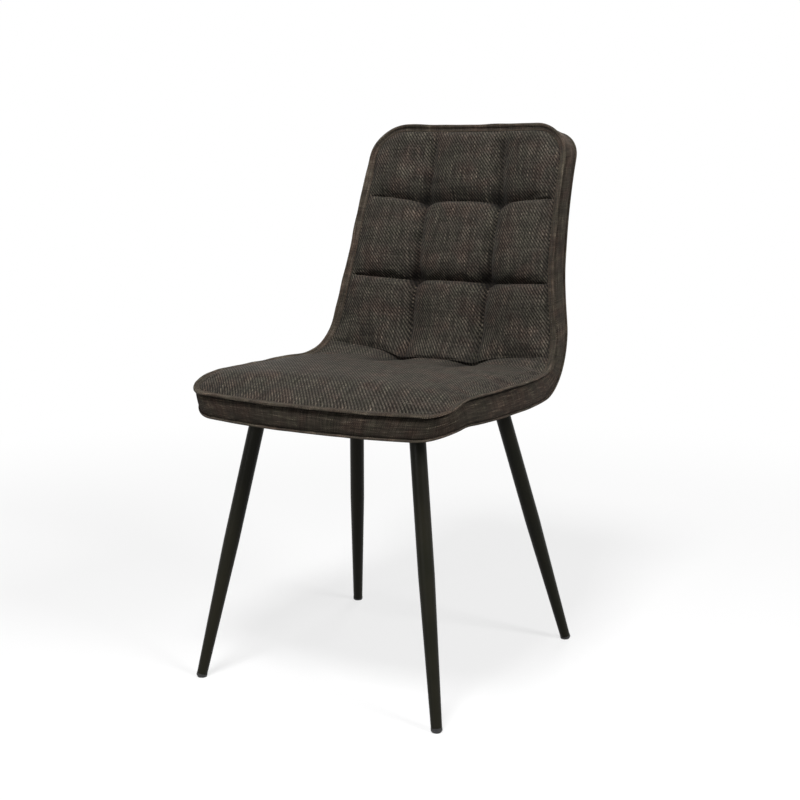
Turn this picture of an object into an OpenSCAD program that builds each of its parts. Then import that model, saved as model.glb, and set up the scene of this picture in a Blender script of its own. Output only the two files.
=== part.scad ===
// Upholstered dining chair: a bent plywood shell under a quilted fabric cover, on four splayed steel legs.
// Millimetres. +Z is up, the front of the seat faces -Y, and the origin lies on the floor at the
// middle of the outer box.
//
// The soft parts are layers of one sheet. A point of the sheet has three coordinates: x across the chair,
// s along the side profile from the front edge to the top edge, and n out of the sheet towards the sitter.
// sheet_point() bends the sheet along the profile, so all layers nest whatever the sizes are.

/* [Side profile] */
// Height of the seat edge above the floor
seat_h = 478; // [440:1:520]
// Distance of the front edge ahead of the middle of the feet
front_reach = 262.5; // [250:0.5:280]
// Length of the rolled front of the seat, along its curve
roll_len = 90; // [75:1:100]
// Downward angle of the seat at its front edge
roll_angle = 27; // [15:0.5:32]
// Share of that angle by which the layers under the front edge lean back
roll_lean = 0.2; // [0:0.05:1]
// Length of the flat stretch of the seat
flat_len = 260; // [245:1:290]
// Radius of the bend from seat to back, at the seam line
bend_r = 77; // [65:1:100]
// Lean of the back from upright, just above the bend
lean_low = 9.5; // [5:0.5:14]
// Lean of the back from upright at its top
lean_top = 20.5; // [16:0.5:26]
// Length of the curved lumbar stretch of the back
lumbar_len = 207; // [180:1:230]
// Length of the straight top stretch of the back
head_len = 138.5; // [125:0.5:160]

/* [Outline] */
// Width of the seat at its front edge
front_w = 462; // [430:1:480]
// Largest width of the seat
seat_w = 484; // [460:1:510]
// Width of the back at the middle of the lumbar stretch
waist_w = 400; // [380:1:440]
// Width of the back below its top corners
top_w = 378; // [350:1:400]
// Corner radius at the front of the seat, at the face welt
front_corner_r = 35; // [26:1:45]
// Corner radius at the front of the seat, at the lower welt
front_corner_low_r = 52; // [40:1:60]
// Corner radius at the top of the back, at the face welt
top_corner_r = 67; // [45:1:75]
// Corner radius at the top of the back, at the lower welt
top_corner_rear_r = 48; // [45:1:70]
// How much the front edge bows forward at its middle
front_bow = 33; // [10:1:40]
// Depth of the hollow that the back wraps round the sitter
wrap_depth = 22; // [10:1:30]
// Depth of the same hollow at the top edge
top_wrap_depth = 9; // [5:1:20]

/* [Quilting] */
// Height of the top row of cells
top_cell_h = 132; // [120:1:150]
// Height of the middle row of cells
middle_cell_h = 142; // [120:1:150]
// Height of the bottom row of cells, down to the seam where the back meets the seat
bottom_cell_h = 121; // [110:1:130]
// Distance between the two upright seams at the top of the back
column_w_top = 130; // [125:1:170]
// Distance between the two upright seams at the upper seam across the back
column_w_upper = 142; // [130:1:170]
// Distance between the two upright seams where the back meets the seat
column_w_low = 134; // [125:1:160]
// Height of a cell's crown above the seam line of the rim
cell_crown = 10; // [6:0.5:14]
// Height of the seat cushion's crown above the seam line of the rim
seat_crown = 11; // [6:0.5:16]
// Depth of a seam across the back below the seam line of the rim
seam_sink = 5; // [2:0.5:8]
// Depth of an upright seam below the seam line of the rim
column_sink = 1.5; // [0:0.5:5]
// Depth of the dimple where two seams cross
tuft_sink = 15; // [9:0.5:16]
// Radius over which a dimple fades out
tuft_spread = 19; // [12:0.5:24]
// How much the upper seam is drawn down at its dimples
upper_pull = 5; // [0:0.5:8]
// How much the upper seam rises at the middles of the outer cells
upper_rise = 2; // [0:0.5:6]
// How much the middle seam is drawn down at its dimples
middle_pull = 2; // [0:0.5:8]
// How much the seam between back and seat is drawn down at its dimples
low_pull = 9; // [0:0.5:14]
// How much that seam is drawn down at its middle
low_sag = 7.5; // [0:0.5:12]
// How much that seam rises at the middles of the outer cells
low_rise = 7; // [0:0.5:10]

/* [Layers] */
// Width of the flanged welt, from its edge to its stitching
welt_w = 12.5; // [9:0.5:15]
// Thickness of the flanged welt
welt_t = 3.4; // [2.4:0.1:4]
// Depth of the quilted pads, from the seam line down to the foam
pad_depth = 20; // [18:0.5:24]
// How much deeper the pads are at the small of the back than on the seat
lumbar_extra = 11; // [0:0.5:12]
// How much deeper the pads are at the top of the back than on the seat
top_extra = 1; // [0:0.5:8]
// How much shallower the pads are along the front edge
front_lift = 4; // [0:0.5:6]
// How much shallower the pads are along the sides, beside the front corners
side_lift = 4; // [0:0.5:6]
// Thickness of the foam over the shell
foam_t = 10.7; // [8:0.1:14]
// Thickness of the plywood shell
ply_t = 9; // [7:0.5:12]
// Thickness of the fabric skin on the side band
band_t = 1.6; // [1.2:0.1:2.5]
// Distance of the side band's face inside the welt's edge
band_inset = 2.4; // [1:0.1:4]
// Height of the lower welt
lower_welt_t = 3; // [2:0.1:4]
// Thickness of the fabric on the outside of the back
cover_t = 1.5; // [1:0.1:2.5]
// Thickness of the dust cloth under the seat
dust_t = 0.8; // [0.5:0.1:1.5]
// Clearance between neighbouring layers
layer_gap = 0.3; // [0.2:0.05:0.4]

/* [Legs] */
// Distance between the centres of the front feet
front_feet_w = 428; // [400:1:460]
// Distance between the centres of the rear feet
rear_feet_w = 422; // [400:1:460]
// Distance from the front feet to the rear feet
feet_depth = 460; // [430:1:490]
// Distance between the front legs where they meet the seat
front_tops_w = 278; // [250:1:290]
// Distance between the rear legs where they meet the seat
rear_tops_w = 269; // [250:1:290]
// Distance of the front legs' tops ahead of the middle of the feet
front_tops_y = 160; // [150:1:163]
// Distance of the rear legs' tops behind the middle of the feet
rear_tops_y = 109; // [95:1:112]
// Diameter of the straight upper part of a leg
leg_d = 24.5; // [22:0.5:28]
// Diameter of a leg at its foot
leg_foot_d = 16.5; // [14:0.5:20]
// Length of the tapered lower part of a leg
leg_taper_len = 225; // [120:5:300]
// Wall of the leg tube
leg_wall = 1.5; // [1:0.1:2]
// Height of the glide that shows under the leg
glide_h = 6; // [4:0.5:10]
// Length of the glide's plug inside the leg
glide_plug_h = 14; // [10:1:20]

/* [Mounting plates] */
// Width of a mounting plate
plate_w = 72; // [66:1:80]
// Length of a mounting plate
plate_len = 84; // [80:1:90]
// Thickness of a mounting plate
plate_t = 3; // [2.5:0.5:4]
// Corner radius of a mounting plate
plate_r = 8; // [4:1:10]
// Distance of a leg's centre from the outer edge of its plate
plate_leg_edge = 14; // [13:0.5:16]
// Spacing of the bolts across a plate
bolt_pitch_x = 50; // [44:1:52]
// Spacing of the bolts along a plate
bolt_pitch_y = 32; // [26:1:36]
// Distance from a leg's centre to the nearer pair of bolts
bolt_leg_gap = 27; // [24:1:30]
// Diameter of the bolts
bolt_d = 6; // [5:0.5:6]
// Length of the bolts under the head
bolt_len = 14; // [12:0.5:15]
// Diameter of the bolt holes in the plates and the dust cloth
bolt_hole_d = 7; // [6.5:0.1:8]
// Diameter of the washers
washer_d = 14; // [12:0.5:16]
// Thickness of the washers
washer_t = 1.2; // [0.8:0.1:1.6]

/* [Hidden] */
$fn = 48;

fabric_colour = "#4b443e";
band_colour = "#3a352f";
foam_colour = "#d9cfa8";
ply_colour = "#c79f6b";
cloth_colour = "#1d1d1d";
steel_colour = "#1b1c1a";
zinc_colour = "#a9adb0";
glide_colour = "#101010";

// ---- Side profile: a chain of straight stretches and arcs, each [length, angle at its start, turn] ----

bend_turn = 90 - lean_low;
bend_len = bend_r * bend_turn * PI / 180;
STRETCHES = [
    [roll_len, roll_angle, -roll_angle],
    [flat_len, 0, 0],
    [bend_len, 0, bend_turn],
    [lumbar_len, bend_turn, lean_low - lean_top],
    [head_len, 90 - lean_top, 0]
];

roll_r = roll_len / (roll_angle * PI / 180);
front_z = seat_h - roll_r * (1 - cos(roll_angle));

// Travel in [y, z] after a distance along one stretch
function travel(stretch, dist) =
    let (a = stretch[1], turn = stretch[2] / stretch[0])
    turn == 0
        ? dist * [cos(a), sin(a)]
        : 180 / (PI * turn) * [sin(a + turn * dist) - sin(a), cos(a) - cos(a + turn * dist)];

// Where each stretch starts: [s, [y, z]]
STARTS = [
    for (i = 0, s = 0, p = [-front_reach, front_z];
         i < len(STRETCHES);
         s = s + STRETCHES[i][0], p = p + travel(STRETCHES[i], STRETCHES[i][0]), i = i + 1)
    [s, p]
];

flat_start_s = roll_len;
bend_start_s = roll_len + flat_len;
bend_end_s = bend_start_s + bend_len;
head_start_s = bend_end_s + lumbar_len;
sheet_len = head_start_s + head_len;

function stretch_at(s, i = 0) =
    i == len(STRETCHES) - 1 || s <= STARTS[i + 1][0] ? i : stretch_at(s, i + 1);

// The profile at s: [y, z, angle]
function profile(s) =
    let (
        i = stretch_at(s),
        dist = s - STARTS[i][0],
        p = STARTS[i][1] + travel(STRETCHES[i], dist)
    )
    [p[0], p[1], STRETCHES[i][1] + dist * STRETCHES[i][2] / STRETCHES[i][0]];

// ---- Outline of the sheet ----

function ease(t) = let (u = min(1, max(0, t))) u * u * (3 - 2 * u);

widest_s = 0.6 * bend_start_s;
narrowing_s = 0.7 * bend_start_s;
waist_s = bend_end_s + 0.58 * lumbar_len;
narrow_end_s = sheet_len - top_corner_r;

// Half the width of the sheet at s, before its corners are rounded
function half_w(s) =
    (front_w
        + (seat_w - front_w) * ease(s / widest_s)
        + (waist_w - seat_w) * ease((s - narrowing_s) / (waist_s - narrowing_s))
        + (top_w - waist_w) * ease((s - waist_s + lumbar_len / 2) / (narrow_end_s - waist_s + lumbar_len / 2))
    ) / 2;

// Corner radii [front, top] of the outline at the face welt, between the welts and at the lower welt
FACE_CORNERS = [front_corner_r, top_corner_r];
LOW_CORNERS = [front_corner_low_r, top_corner_rear_r];
PAD_CORNERS = [(front_corner_r + front_corner_low_r) / 2, top_corner_r];
FOAM_CORNERS = [front_corner_low_r, top_corner_r];

function arc_rise(r, offset) = sqrt(max(0, r * r - offset * offset));

// Half the width at s of the outline with the given corners, set in by inset
function half_at(s, inset, corners) =
    let (front_r = corners[0], top_r = corners[1], top_s = sheet_len - top_r)
    s < front_r
        ? half_w(front_r) - front_r + arc_rise(front_r - inset, front_r - s)
        : s > top_s
            ? half_w(top_s) - top_r + arc_rise(top_r - inset, s - top_s)
            : half_w(s) - inset;

// Distance of a point of the sheet inside the outline at the face welt
function rim_distance(x, s) =
    let (
        front_x = abs(x) - half_w(front_corner_r) + front_corner_r,
        top_x = abs(x) - half_w(narrow_end_s) + top_corner_r
    )
    s < front_corner_r && front_x > 0
        ? front_corner_r - norm([front_x, front_corner_r - s])
        : s > narrow_end_s && top_x > 0
            ? top_corner_r - norm([top_x, s - narrow_end_s])
            : min(s, sheet_len - s, half_w(s) - abs(x));

// ---- The bent sheet ----

bow_fade_len = 150;
extra_start_s = bend_start_s + 20;

function wrap_at(s) =
    wrap_depth * ease((s - bend_start_s) / (0.75 * bend_len))
        + (top_wrap_depth - wrap_depth) * ease((s - head_start_s) / head_len);

// Extra depth of the pads at s
function extra_at(s) =
    lumbar_extra * ease((s - extra_start_s) / bend_len)
        + (top_extra - lumbar_extra) * ease((s - bend_end_s) / (sheet_len - bend_end_s));

// How much shallower the pads are at a point near the front
side_lift_len = 2.1 * roll_len;
function lift_at(x, s) =
    front_lift * (1 - ease(s / roll_len)) + side_lift * (1 - ease(s / side_lift_len)) * pow(x / half_w(s), 8);

// A point of the sheet before the whole chair is centred on the origin
function unshifted_point(x, s, n) =
    let (
        c = profile(s),
        lean = s < flat_start_s ? c[2] * roll_lean : c[2],
        share = pow(x / half_w(s), 2),
        more = extra_at(s) - lift_at(x, s),
        depth = n - more * min(1, max(0, -n / pad_depth)) - wrap_at(s) * (1 - share),
        bow = front_bow * share * (1 - ease(s / bow_fade_len))
    )
    [x, c[0] + bow - sin(lean) * depth, c[1] + cos(lean) * depth];

pad_base = -pad_depth;
foam_top = pad_base - layer_gap;
foam_base = foam_top - foam_t;
ply_top = foam_base - layer_gap;
ply_base = ply_top - ply_t;
cover_top = ply_base - layer_gap;
cover_base = cover_top - cover_t;
dust_base = cover_top - dust_t;
inner_inset = 10.5;
cover_inset = 8.5;

rear_y = unshifted_point(0, sheet_len - cover_inset, cover_base)[1];
front_y = unshifted_point(0, 0, welt_t / 2)[1];
middle_y = (rear_y + front_y) / 2;

function sheet_point(x, s, n) = unshifted_point(x, s, n) - [0, middle_y, 0];

// ---- Quilting ----

seam_1_s = sheet_len - top_cell_h;
seam_2_s = seam_1_s - middle_cell_h;
seam_3_s = seam_2_s - bottom_cell_h;
stitch_inset = welt_w + 0.2;
top_stitch_s = sheet_len - stitch_inset;
under_welt = -welt_t / 2 - layer_gap;

// Share of the way between two limits, and the value that lies there
function share_of(v, low, high) = min(1, max(0, (v - low) / (high - low)));
function between(s, low_s, high_s, low, high) = low + (high - low) * share_of(s, low_s, high_s);

// Half the distance between the upright seams at s
function column_x(s) =
    (s < seam_1_s
        ? between(s, seam_3_s, seam_1_s, column_w_low, column_w_upper)
        : between(s, seam_1_s, top_stitch_s, column_w_upper, column_w_top)) / 2;

// Rounded crown over t = 0..1, steeper at its ends as the power falls
function puff(t, power) = pow(max(0, 4 * t * (1 - t)), power);

function cell_row(s) =
    s < seam_2_s ? [seam_3_s, seam_2_s] : s < seam_1_s ? [seam_2_s, seam_1_s] : [seam_1_s, top_stitch_s];

// Share of the way across the cell that holds x
function across_cell(x, s) =
    abs(x) < column_x(s)
        ? share_of(x, -column_x(s), column_x(s))
        : share_of(abs(x), column_x(s), half_at(s, stitch_inset, FACE_CORNERS));

// How far a seam across the back lies above its straight line at x, from how much it is drawn down at its
// dimples and at its middle, and how much it rises at the middles of the outer cells
function drawn(x, s, pull, sag, rise) =
    let (across = across_cell(x, s))
    abs(x) < column_x(s)
        ? -sag - (pull - sag) * (1 - puff(across, 0.6))
        : rise * puff(across, 1) - pull * pow(1 - across, 1.5);
function low_drawn(x, s) = drawn(x, s, low_pull, low_sag, low_rise);
function middle_drawn(x, s) = drawn(x, s, middle_pull, 0, 0);
function upper_drawn(x, s) = drawn(x, s, upper_pull, 0, upper_rise);

// How far the quilting is shifted along the sheet. Between two seams the shift changes evenly, and it fades
// out over the rear of the seat.
seat_shift_len = 150;
function seam_shift(x, s) =
    s < seam_3_s ? low_drawn(x, s) * ease((s - seam_3_s + seat_shift_len) / seat_shift_len)
    : s < seam_2_s ? between(s, seam_3_s, seam_2_s, low_drawn(x, s), middle_drawn(x, s))
    : s < seam_1_s ? between(s, seam_2_s, seam_1_s, middle_drawn(x, s), upper_drawn(x, s))
    : between(s, seam_1_s, top_stitch_s, upper_drawn(x, s), 0);

function dimple(x, s, row_s, reach) =
    exp(-(pow((abs(x) - column_x(row_s)) / tuft_spread, 2) + pow((s - row_s) / reach, 2)) / 2);

seam_fade_len = 45;

// Height of the quilted back over the sheet
function back_top(x, s) =
    rim_distance(x, s) < stitch_inset ? under_welt
    : let (
        row = cell_row(s),
        over = puff(across_cell(x, s), 0.6),
        up = puff(share_of(s, row[0], row[1]), 0.55),
        fade = ease((rim_distance(x, s) - stitch_inset) / seam_fade_len),
        sink = under_welt + (-seam_sink - under_welt) * fade,
        column = under_welt + (-column_sink - under_welt) * fade,
        dimples = max([for (row_s = [seam_1_s, seam_2_s, seam_3_s]) dimple(x, s, row_s, tuft_spread)])
    )
    sink * (1 - up)
        + (column * (1 - over) + cell_crown * over) * up
        - (tuft_sink - seam_sink) * dimples * fade;

// Height of the plain seat cushion over the sheet: it rises from the front, falls away towards the back and
// is pulled down along the seam that it shares with the back
seat_rise_share = 0.3;
seat_fall = 0.75;
seat_dimple_reach = 60;
function seat_top(x, s) =
    rim_distance(x, s) < stitch_inset ? under_welt
    : let (
        across = share_of(abs(x), 0, half_at(s, stitch_inset, FACE_CORNERS)),
        along = share_of(s, stitch_inset, seam_3_s),
        rise = pow(1 - pow(max(0, 1 - along / seat_rise_share), 4), 0.6),
        fall = 1 - seat_fall * ease((along - seat_rise_share) / (1 - seat_rise_share)),
        crease = pow(1 - pow(along, 16), 0.6),
        fade = ease((rim_distance(x, s) - stitch_inset) / seam_fade_len) * ease((along - 0.6) / 0.4),
        sink = under_welt + (-seam_sink - under_welt) * fade
    )
    sink + (seat_crown - sink) * pow(1 - pow(across, 4), 0.6) * rise * fall * crease
        - (tuft_sink - seam_sink) * dimple(x, s, seam_3_s, seat_dimple_reach);

// ---- Lofts over the sheet ----

cell_steps = 8;
seat_steps = 6;
layer_columns = 8;
corner_steps = 6;
front_corner_steps = 4;

function steps(from, to, count) = [for (i = [0 : count - 1]) from + (to - from) * i / count];

// Stations along the front corners and along the top corners of an outline set in by inset
function front_stations(inset, corners) =
    [for (i = [0 : front_corner_steps - 1])
        corners[0] - (corners[0] - inset) * cos(90 * i / front_corner_steps)];
function top_stations(inset, corners) =
    [for (i = [0 : corner_steps])
        sheet_len - corners[1] + (corners[1] - inset) * sin(90 * i / corner_steps)];

// Stations of the layers above the shell, on the seat and on the back, which meet at the lowest seam
function seat_stations(inset, corners) =
    concat(front_stations(inset, corners), steps(corners[0], flat_start_s, 3),
        steps(flat_start_s, bend_start_s, 7), steps(bend_start_s, seam_3_s - layer_gap / 2, 4),
        [seam_3_s - layer_gap / 2]);
function back_stations(inset, corners) =
    concat(steps(seam_3_s + layer_gap / 2, seam_2_s, cell_steps), steps(seam_2_s, seam_1_s, cell_steps),
        steps(seam_1_s, sheet_len - corners[1], 4), top_stations(inset, corners));

// Positions across the sheet as shares of its half width
function even_columns(count) = [for (i = [0 : count]) 2 * i / count - 1];

// A solid between two heights over the sheet. stations are s values, places are x values at each station, and
// shift says how far a point is moved along the sheet.
module slab(stations, places, top, base, shift = function (x, s) 0) {
    rows = len(stations);
    cols = len(places(stations[0]));
    top_points = [for (s = stations) for (x = places(s)) sheet_point(x, s + shift(x, s), top(x, s))];
    base_points = [for (s = stations) for (x = places(s)) sheet_point(x, s + shift(x, s), base)];
    under = rows * cols;
    face_cells = [for (i = [0 : rows - 2]) for (j = [0 : cols - 2]) i * cols + j];
    rim = concat(
        [for (j = [0 : cols - 2]) j],
        [for (i = [0 : rows - 2]) i * cols + cols - 1],
        [for (j = [cols - 1 : -1 : 1]) (rows - 1) * cols + j],
        [for (i = [rows - 1 : -1 : 1]) i * cols]
    );
    polyhedron(
        points = concat(top_points, base_points),
        faces = concat(
            [for (k = face_cells) each [[k, k + cols, k + cols + 1], [k, k + cols + 1, k + 1]]],
            [for (k = face_cells) each
                [[under + k, under + k + cols + 1, under + k + cols],
                    [under + k, under + k + 1, under + k + cols + 1]]],
            [for (i = [0 : len(rim) - 1]) let (a = rim[i], b = rim[(i + 1) % len(rim)])
                each [[a, b, under + b], [a, under + b, under + a]]]
        ),
        convexity = 6
    );
}

// Places across a plain layer
function layer_places(inset, corners) = function (s) half_at(s, inset, corners) * even_columns(layer_columns);

// Places across a pad: its rim, the stitching, and equal steps to, between and from the upright seams
function pad_places(s, seam, count) =
    let (
        outer = half_at(s, inner_inset, PAD_CORNERS),
        stitch = max(outer - stitch_inset + inner_inset, seam + 6)
    )
    concat([-outer], steps(-stitch, -seam, count), steps(-seam, seam, count), steps(seam, stitch, count),
        [stitch, outer]);

module seat_pad() {
    color(fabric_colour) slab(
        seat_stations(inner_inset, PAD_CORNERS),
        function (s) pad_places(s, column_x(seam_3_s), seat_steps),
        function (x, s) seat_top(x, s),
        pad_base,
        function (x, s) seam_shift(x, s)
    );
}

module back_pad() {
    color(fabric_colour) slab(
        back_stations(inner_inset, PAD_CORNERS),
        function (s) pad_places(s, column_x(s), cell_steps),
        function (x, s) back_top(x, s),
        pad_base,
        function (x, s) seam_shift(x, s)
    );
}

module foam(stations) {
    color(foam_colour)
        slab(stations, layer_places(inner_inset, FOAM_CORNERS), function (x, s) foam_top, foam_base);
}

// The fabric outside the back ends in a seam under the bend, where the dust cloth starts
cover_split_s = bend_start_s + 0.37 * bend_len;

module outer_cover() {
    stations = concat(steps(cover_split_s + layer_gap / 2, bend_end_s, 5), steps(bend_end_s, seam_1_s, 8),
        steps(seam_1_s, sheet_len - top_corner_rear_r, 3), top_stations(cover_inset, LOW_CORNERS));
    color(band_colour)
        slab(stations, layer_places(cover_inset, LOW_CORNERS), function (x, s) cover_top, cover_base);
}

module dust_cover() {
    stations = concat(front_stations(cover_inset, LOW_CORNERS), steps(front_corner_low_r, flat_start_s, 2),
        [flat_start_s], steps(bend_start_s, cover_split_s - layer_gap / 2, 3),
        [cover_split_s - layer_gap / 2]);
    color(cloth_colour) difference() {
        slab(stations, layer_places(cover_inset, LOW_CORNERS), function (x, s) cover_top, dust_base);
        for (place = BOLT_PLACES)
            translate([place[0], place[1], under_shell_z - 20]) cylinder(h = 40, d = bolt_hole_d);
    }
}

// ---- Rings round the edge of the sheet ----

// One side of the outline with the given corners as [x, s], from the front edge to the middle of the top edge
function side_rim(corners) =
    let (
        front_r = corners[0],
        top_r = corners[1],
        top_s = sheet_len - top_r,
        front_half = half_w(front_r) - front_r,
        top_half = half_w(top_s) - top_r
    )
    concat(
        [for (x = steps(front_half / 8, front_half, 4)) [x, 0]],
        [for (i = [0 : front_corner_steps - 1]) let (a = 90 * i / front_corner_steps)
            [front_half + front_r * sin(a), front_r - front_r * cos(a)]],
        [for (s = concat(steps(front_r, bend_start_s, 10), steps(bend_start_s, bend_end_s, 7),
            steps(bend_end_s, top_s, 9))) [half_w(s), s]],
        [for (i = [0 : corner_steps]) let (a = 90 * i / corner_steps)
            [top_half + top_r * cos(a), top_s + top_r * sin(a)]],
        [for (x = steps(0.7 * top_half, 0, 3)) [x, sheet_len]]
    );
function full_rim(side) = concat(side, [for (i = [len(side) - 1 : -1 : 0]) [-side[i][0], side[i][1]]]);
FACE_RIM = full_rim(side_rim(FACE_CORNERS));
LOW_RIM = full_rim(side_rim(LOW_CORNERS));

// Direction out of an outline at its point i
function rim_out(rim, i) =
    let (t = rim[(i + 1) % len(rim)] - rim[(i + len(rim) - 1) % len(rim)])
    [t[1], -t[0]] / norm(t);

// A ring swept round the outline, whose corners change from the face welt to the lower welt.
// section lists [distance outside the outline, n] round the cut.
module edge_ring(section) {
    count = len(FACE_RIM);
    sides = len(section);
    polyhedron(
        points = [for (i = [0 : count - 1]) for (c = section)
            let (
                low = share_of(-c[1], 0, -ply_base),
                p = (1 - low) * (FACE_RIM[i] + c[0] * rim_out(FACE_RIM, i))
                    + low * (LOW_RIM[i] + c[0] * rim_out(LOW_RIM, i))
            )
            sheet_point(p[0], p[1], c[1])],
        faces = [for (i = [0 : count - 1]) for (j = [0 : sides - 1])
            let (
                a = i * sides + j,
                b = i * sides + (j + 1) % sides,
                c = ((i + 1) % count) * sides + (j + 1) % sides,
                d = ((i + 1) % count) * sides + j
            )
            each [[a, b, c], [a, c, d]]],
        convexity = 8
    );
}

module face_welt() {
    half_t = welt_t / 2;
    section = [[-welt_w, half_t * 0.6], [-welt_w, -half_t], [-half_t, -half_t], [0, -half_t * 0.4],
        [0, half_t * 0.4], [-half_t, half_t]];
    color(fabric_colour) edge_ring(section);
}

// The band's face starts deep in the groove under the welt, swells, and turns in again above the lower welt
band_top = -welt_t / 2 - layer_gap;
band_base = ply_base + lower_welt_t / 2;
groove_inset = inner_inset - band_t - 0.7;
module side_band() {
    depth = band_top - band_base;
    face = [
        [-groove_inset, band_top],
        [-groove_inset + 0.6, band_top - 0.05 * depth],
        [-band_inset - 1.4, band_top - 0.12 * depth],
        [-band_inset, band_top - 0.35 * depth],
        [-band_inset, band_top - 0.75 * depth],
        [-band_inset - 1.6, band_base]
    ];
    back = [for (i = [len(face) - 1 : -1 : 0]) face[i] - [band_t, 0]];
    color(band_colour) edge_ring(concat(back, face));
}

module lower_welt() {
    top = band_base - layer_gap;
    base = top - lower_welt_t;
    section = [[-cover_inset + layer_gap, top], [-cover_inset + layer_gap, base], [-band_inset, base],
        [-band_inset + 1.5, (top + base) / 2], [-band_inset, top]];
    color(fabric_colour) edge_ring(section);
}

// ---- Shell, plates and bolts. Each corner of the chair is [side, end]: -1 or 1 along X and along Y. ----

FRONT_LEFT = [-1, -1];
FRONT_RIGHT = [1, -1];
REAR_LEFT = [-1, 1];
REAR_RIGHT = [1, 1];
CORNERS = [FRONT_LEFT, FRONT_RIGHT, REAR_LEFT, REAR_RIGHT];

under_shell_z = seat_h + ply_base;
plate_top_z = seat_h + dust_base - layer_gap;
plate_base_z = plate_top_z - plate_t;

// Centre of a leg where it meets its plate, and where its axis meets the floor
function leg_top(corner) =
    corner[1] < 0
        ? [corner[0] * front_tops_w / 2, -front_tops_y - middle_y, plate_base_z]
        : [corner[0] * rear_tops_w / 2, rear_tops_y - middle_y, plate_base_z];
function leg_foot(corner) =
    [corner[0] * (corner[1] < 0 ? front_feet_w : rear_feet_w) / 2, corner[1] * feet_depth / 2 - middle_y, 0];

// Bolt centres of one plate: the plate reaches from its leg towards the middle of the seat
function bolt_places(corner) = [
    for (across = [-1, 1]) for (along = [0, 1])
    let (c = leg_top(corner))
    [c[0] + across * bolt_pitch_x / 2, c[1] - corner[1] * (bolt_leg_gap + along * bolt_pitch_y)]
];
BOLT_PLACES = [for (corner = CORNERS) each bolt_places(corner)];

tee_flange_d = 19;
tee_flange_t = 1.6;
tee_barrel_d = 8;
tee_barrel_h = ply_t - 2;
fit_gap = 0.1;

module ply_shell() {
    stations = concat(front_stations(cover_inset, LOW_CORNERS), steps(front_corner_low_r, flat_start_s, 2),
        [flat_start_s], steps(bend_start_s, bend_end_s, 8), steps(bend_end_s, seam_1_s, 9),
        steps(seam_1_s, sheet_len - top_corner_rear_r, 3), top_stations(cover_inset, LOW_CORNERS));
    color(ply_colour) difference() {
        slab(stations, layer_places(cover_inset, LOW_CORNERS), function (x, s) ply_top, ply_base);
        for (place = BOLT_PLACES) translate([place[0], place[1], 0]) {
            translate([0, 0, under_shell_z - 5]) cylinder(h = ply_t + 10, d = tee_barrel_d + 2 * fit_gap);
            translate([0, 0, seat_h + ply_top - tee_flange_t - fit_gap])
                cylinder(h = tee_flange_t + 5, d = tee_flange_d + 2 * fit_gap);
        }
    }
}

module tee_nuts() {
    color(zinc_colour) for (place = BOLT_PLACES)
        translate([place[0], place[1], seat_h + ply_top]) difference() {
            union() {
                translate([0, 0, -tee_flange_t]) cylinder(h = tee_flange_t, d = tee_flange_d);
                translate([0, 0, -tee_barrel_h]) cylinder(h = tee_barrel_h, d = tee_barrel_d);
            }
            translate([0, 0, -tee_barrel_h - 1]) cylinder(h = tee_barrel_h + 2, d = bolt_d + 2 * fit_gap);
        }
}

module plate(corner) {
    c = leg_top(corner);
    outer_y = c[1] + corner[1] * plate_leg_edge;
    middle = [c[0], outer_y - corner[1] * plate_len / 2];
    color(steel_colour) translate([0, 0, plate_base_z]) linear_extrude(plate_t) difference() {
        translate(middle) {
            square([plate_w - 2 * plate_r, plate_len], center = true);
            square([plate_w, plate_len - 2 * plate_r], center = true);
            for (sx = [-1, 1]) for (sy = [-1, 1])
                translate([sx * (plate_w / 2 - plate_r), sy * (plate_len / 2 - plate_r)]) circle(plate_r);
        }
        for (place = bolt_places(corner)) translate(place) circle(d = bolt_hole_d);
    }
}

head_d = 11;
head_h = 3.3;
socket_d = 4.6;
socket_h = 2;

module bolt() {
    difference() {
        union() {
            cylinder(h = bolt_len, d = bolt_d);
            translate([0, 0, -head_h]) cylinder(h = head_h, d1 = head_d * 0.7, d2 = head_d);
        }
        translate([0, 0, -head_h - 1]) cylinder(h = socket_h + 1, d = socket_d, $fn = 6);
    }
}

module bolts(corner) {
    color(zinc_colour) for (place = bolt_places(corner))
        translate([place[0], place[1], plate_base_z - washer_t]) bolt();
}

module washers() {
    color(zinc_colour) for (place = BOLT_PLACES)
        translate([place[0], place[1], plate_base_z - washer_t]) difference() {
            cylinder(h = washer_t, d = washer_d);
            translate([0, 0, -1]) cylinder(h = washer_t + 2, d = bolt_d + 4 * fit_gap);
        }
}

// ---- Legs: tapered tubes along the line from foot to top ----

// Places its children on a leg's axis, with Z from the foot towards the top. The quarter turn keeps the
// tube's own seam off the highest point of its slanted cut.
module on_leg(corner) {
    axis = leg_top(corner) - leg_foot(corner);
    translate(leg_foot(corner)) rotate([0, acos(axis[2] / norm(axis)), atan2(axis[1], axis[0])])
        rotate([0, 0, 90]) children();
}

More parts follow.
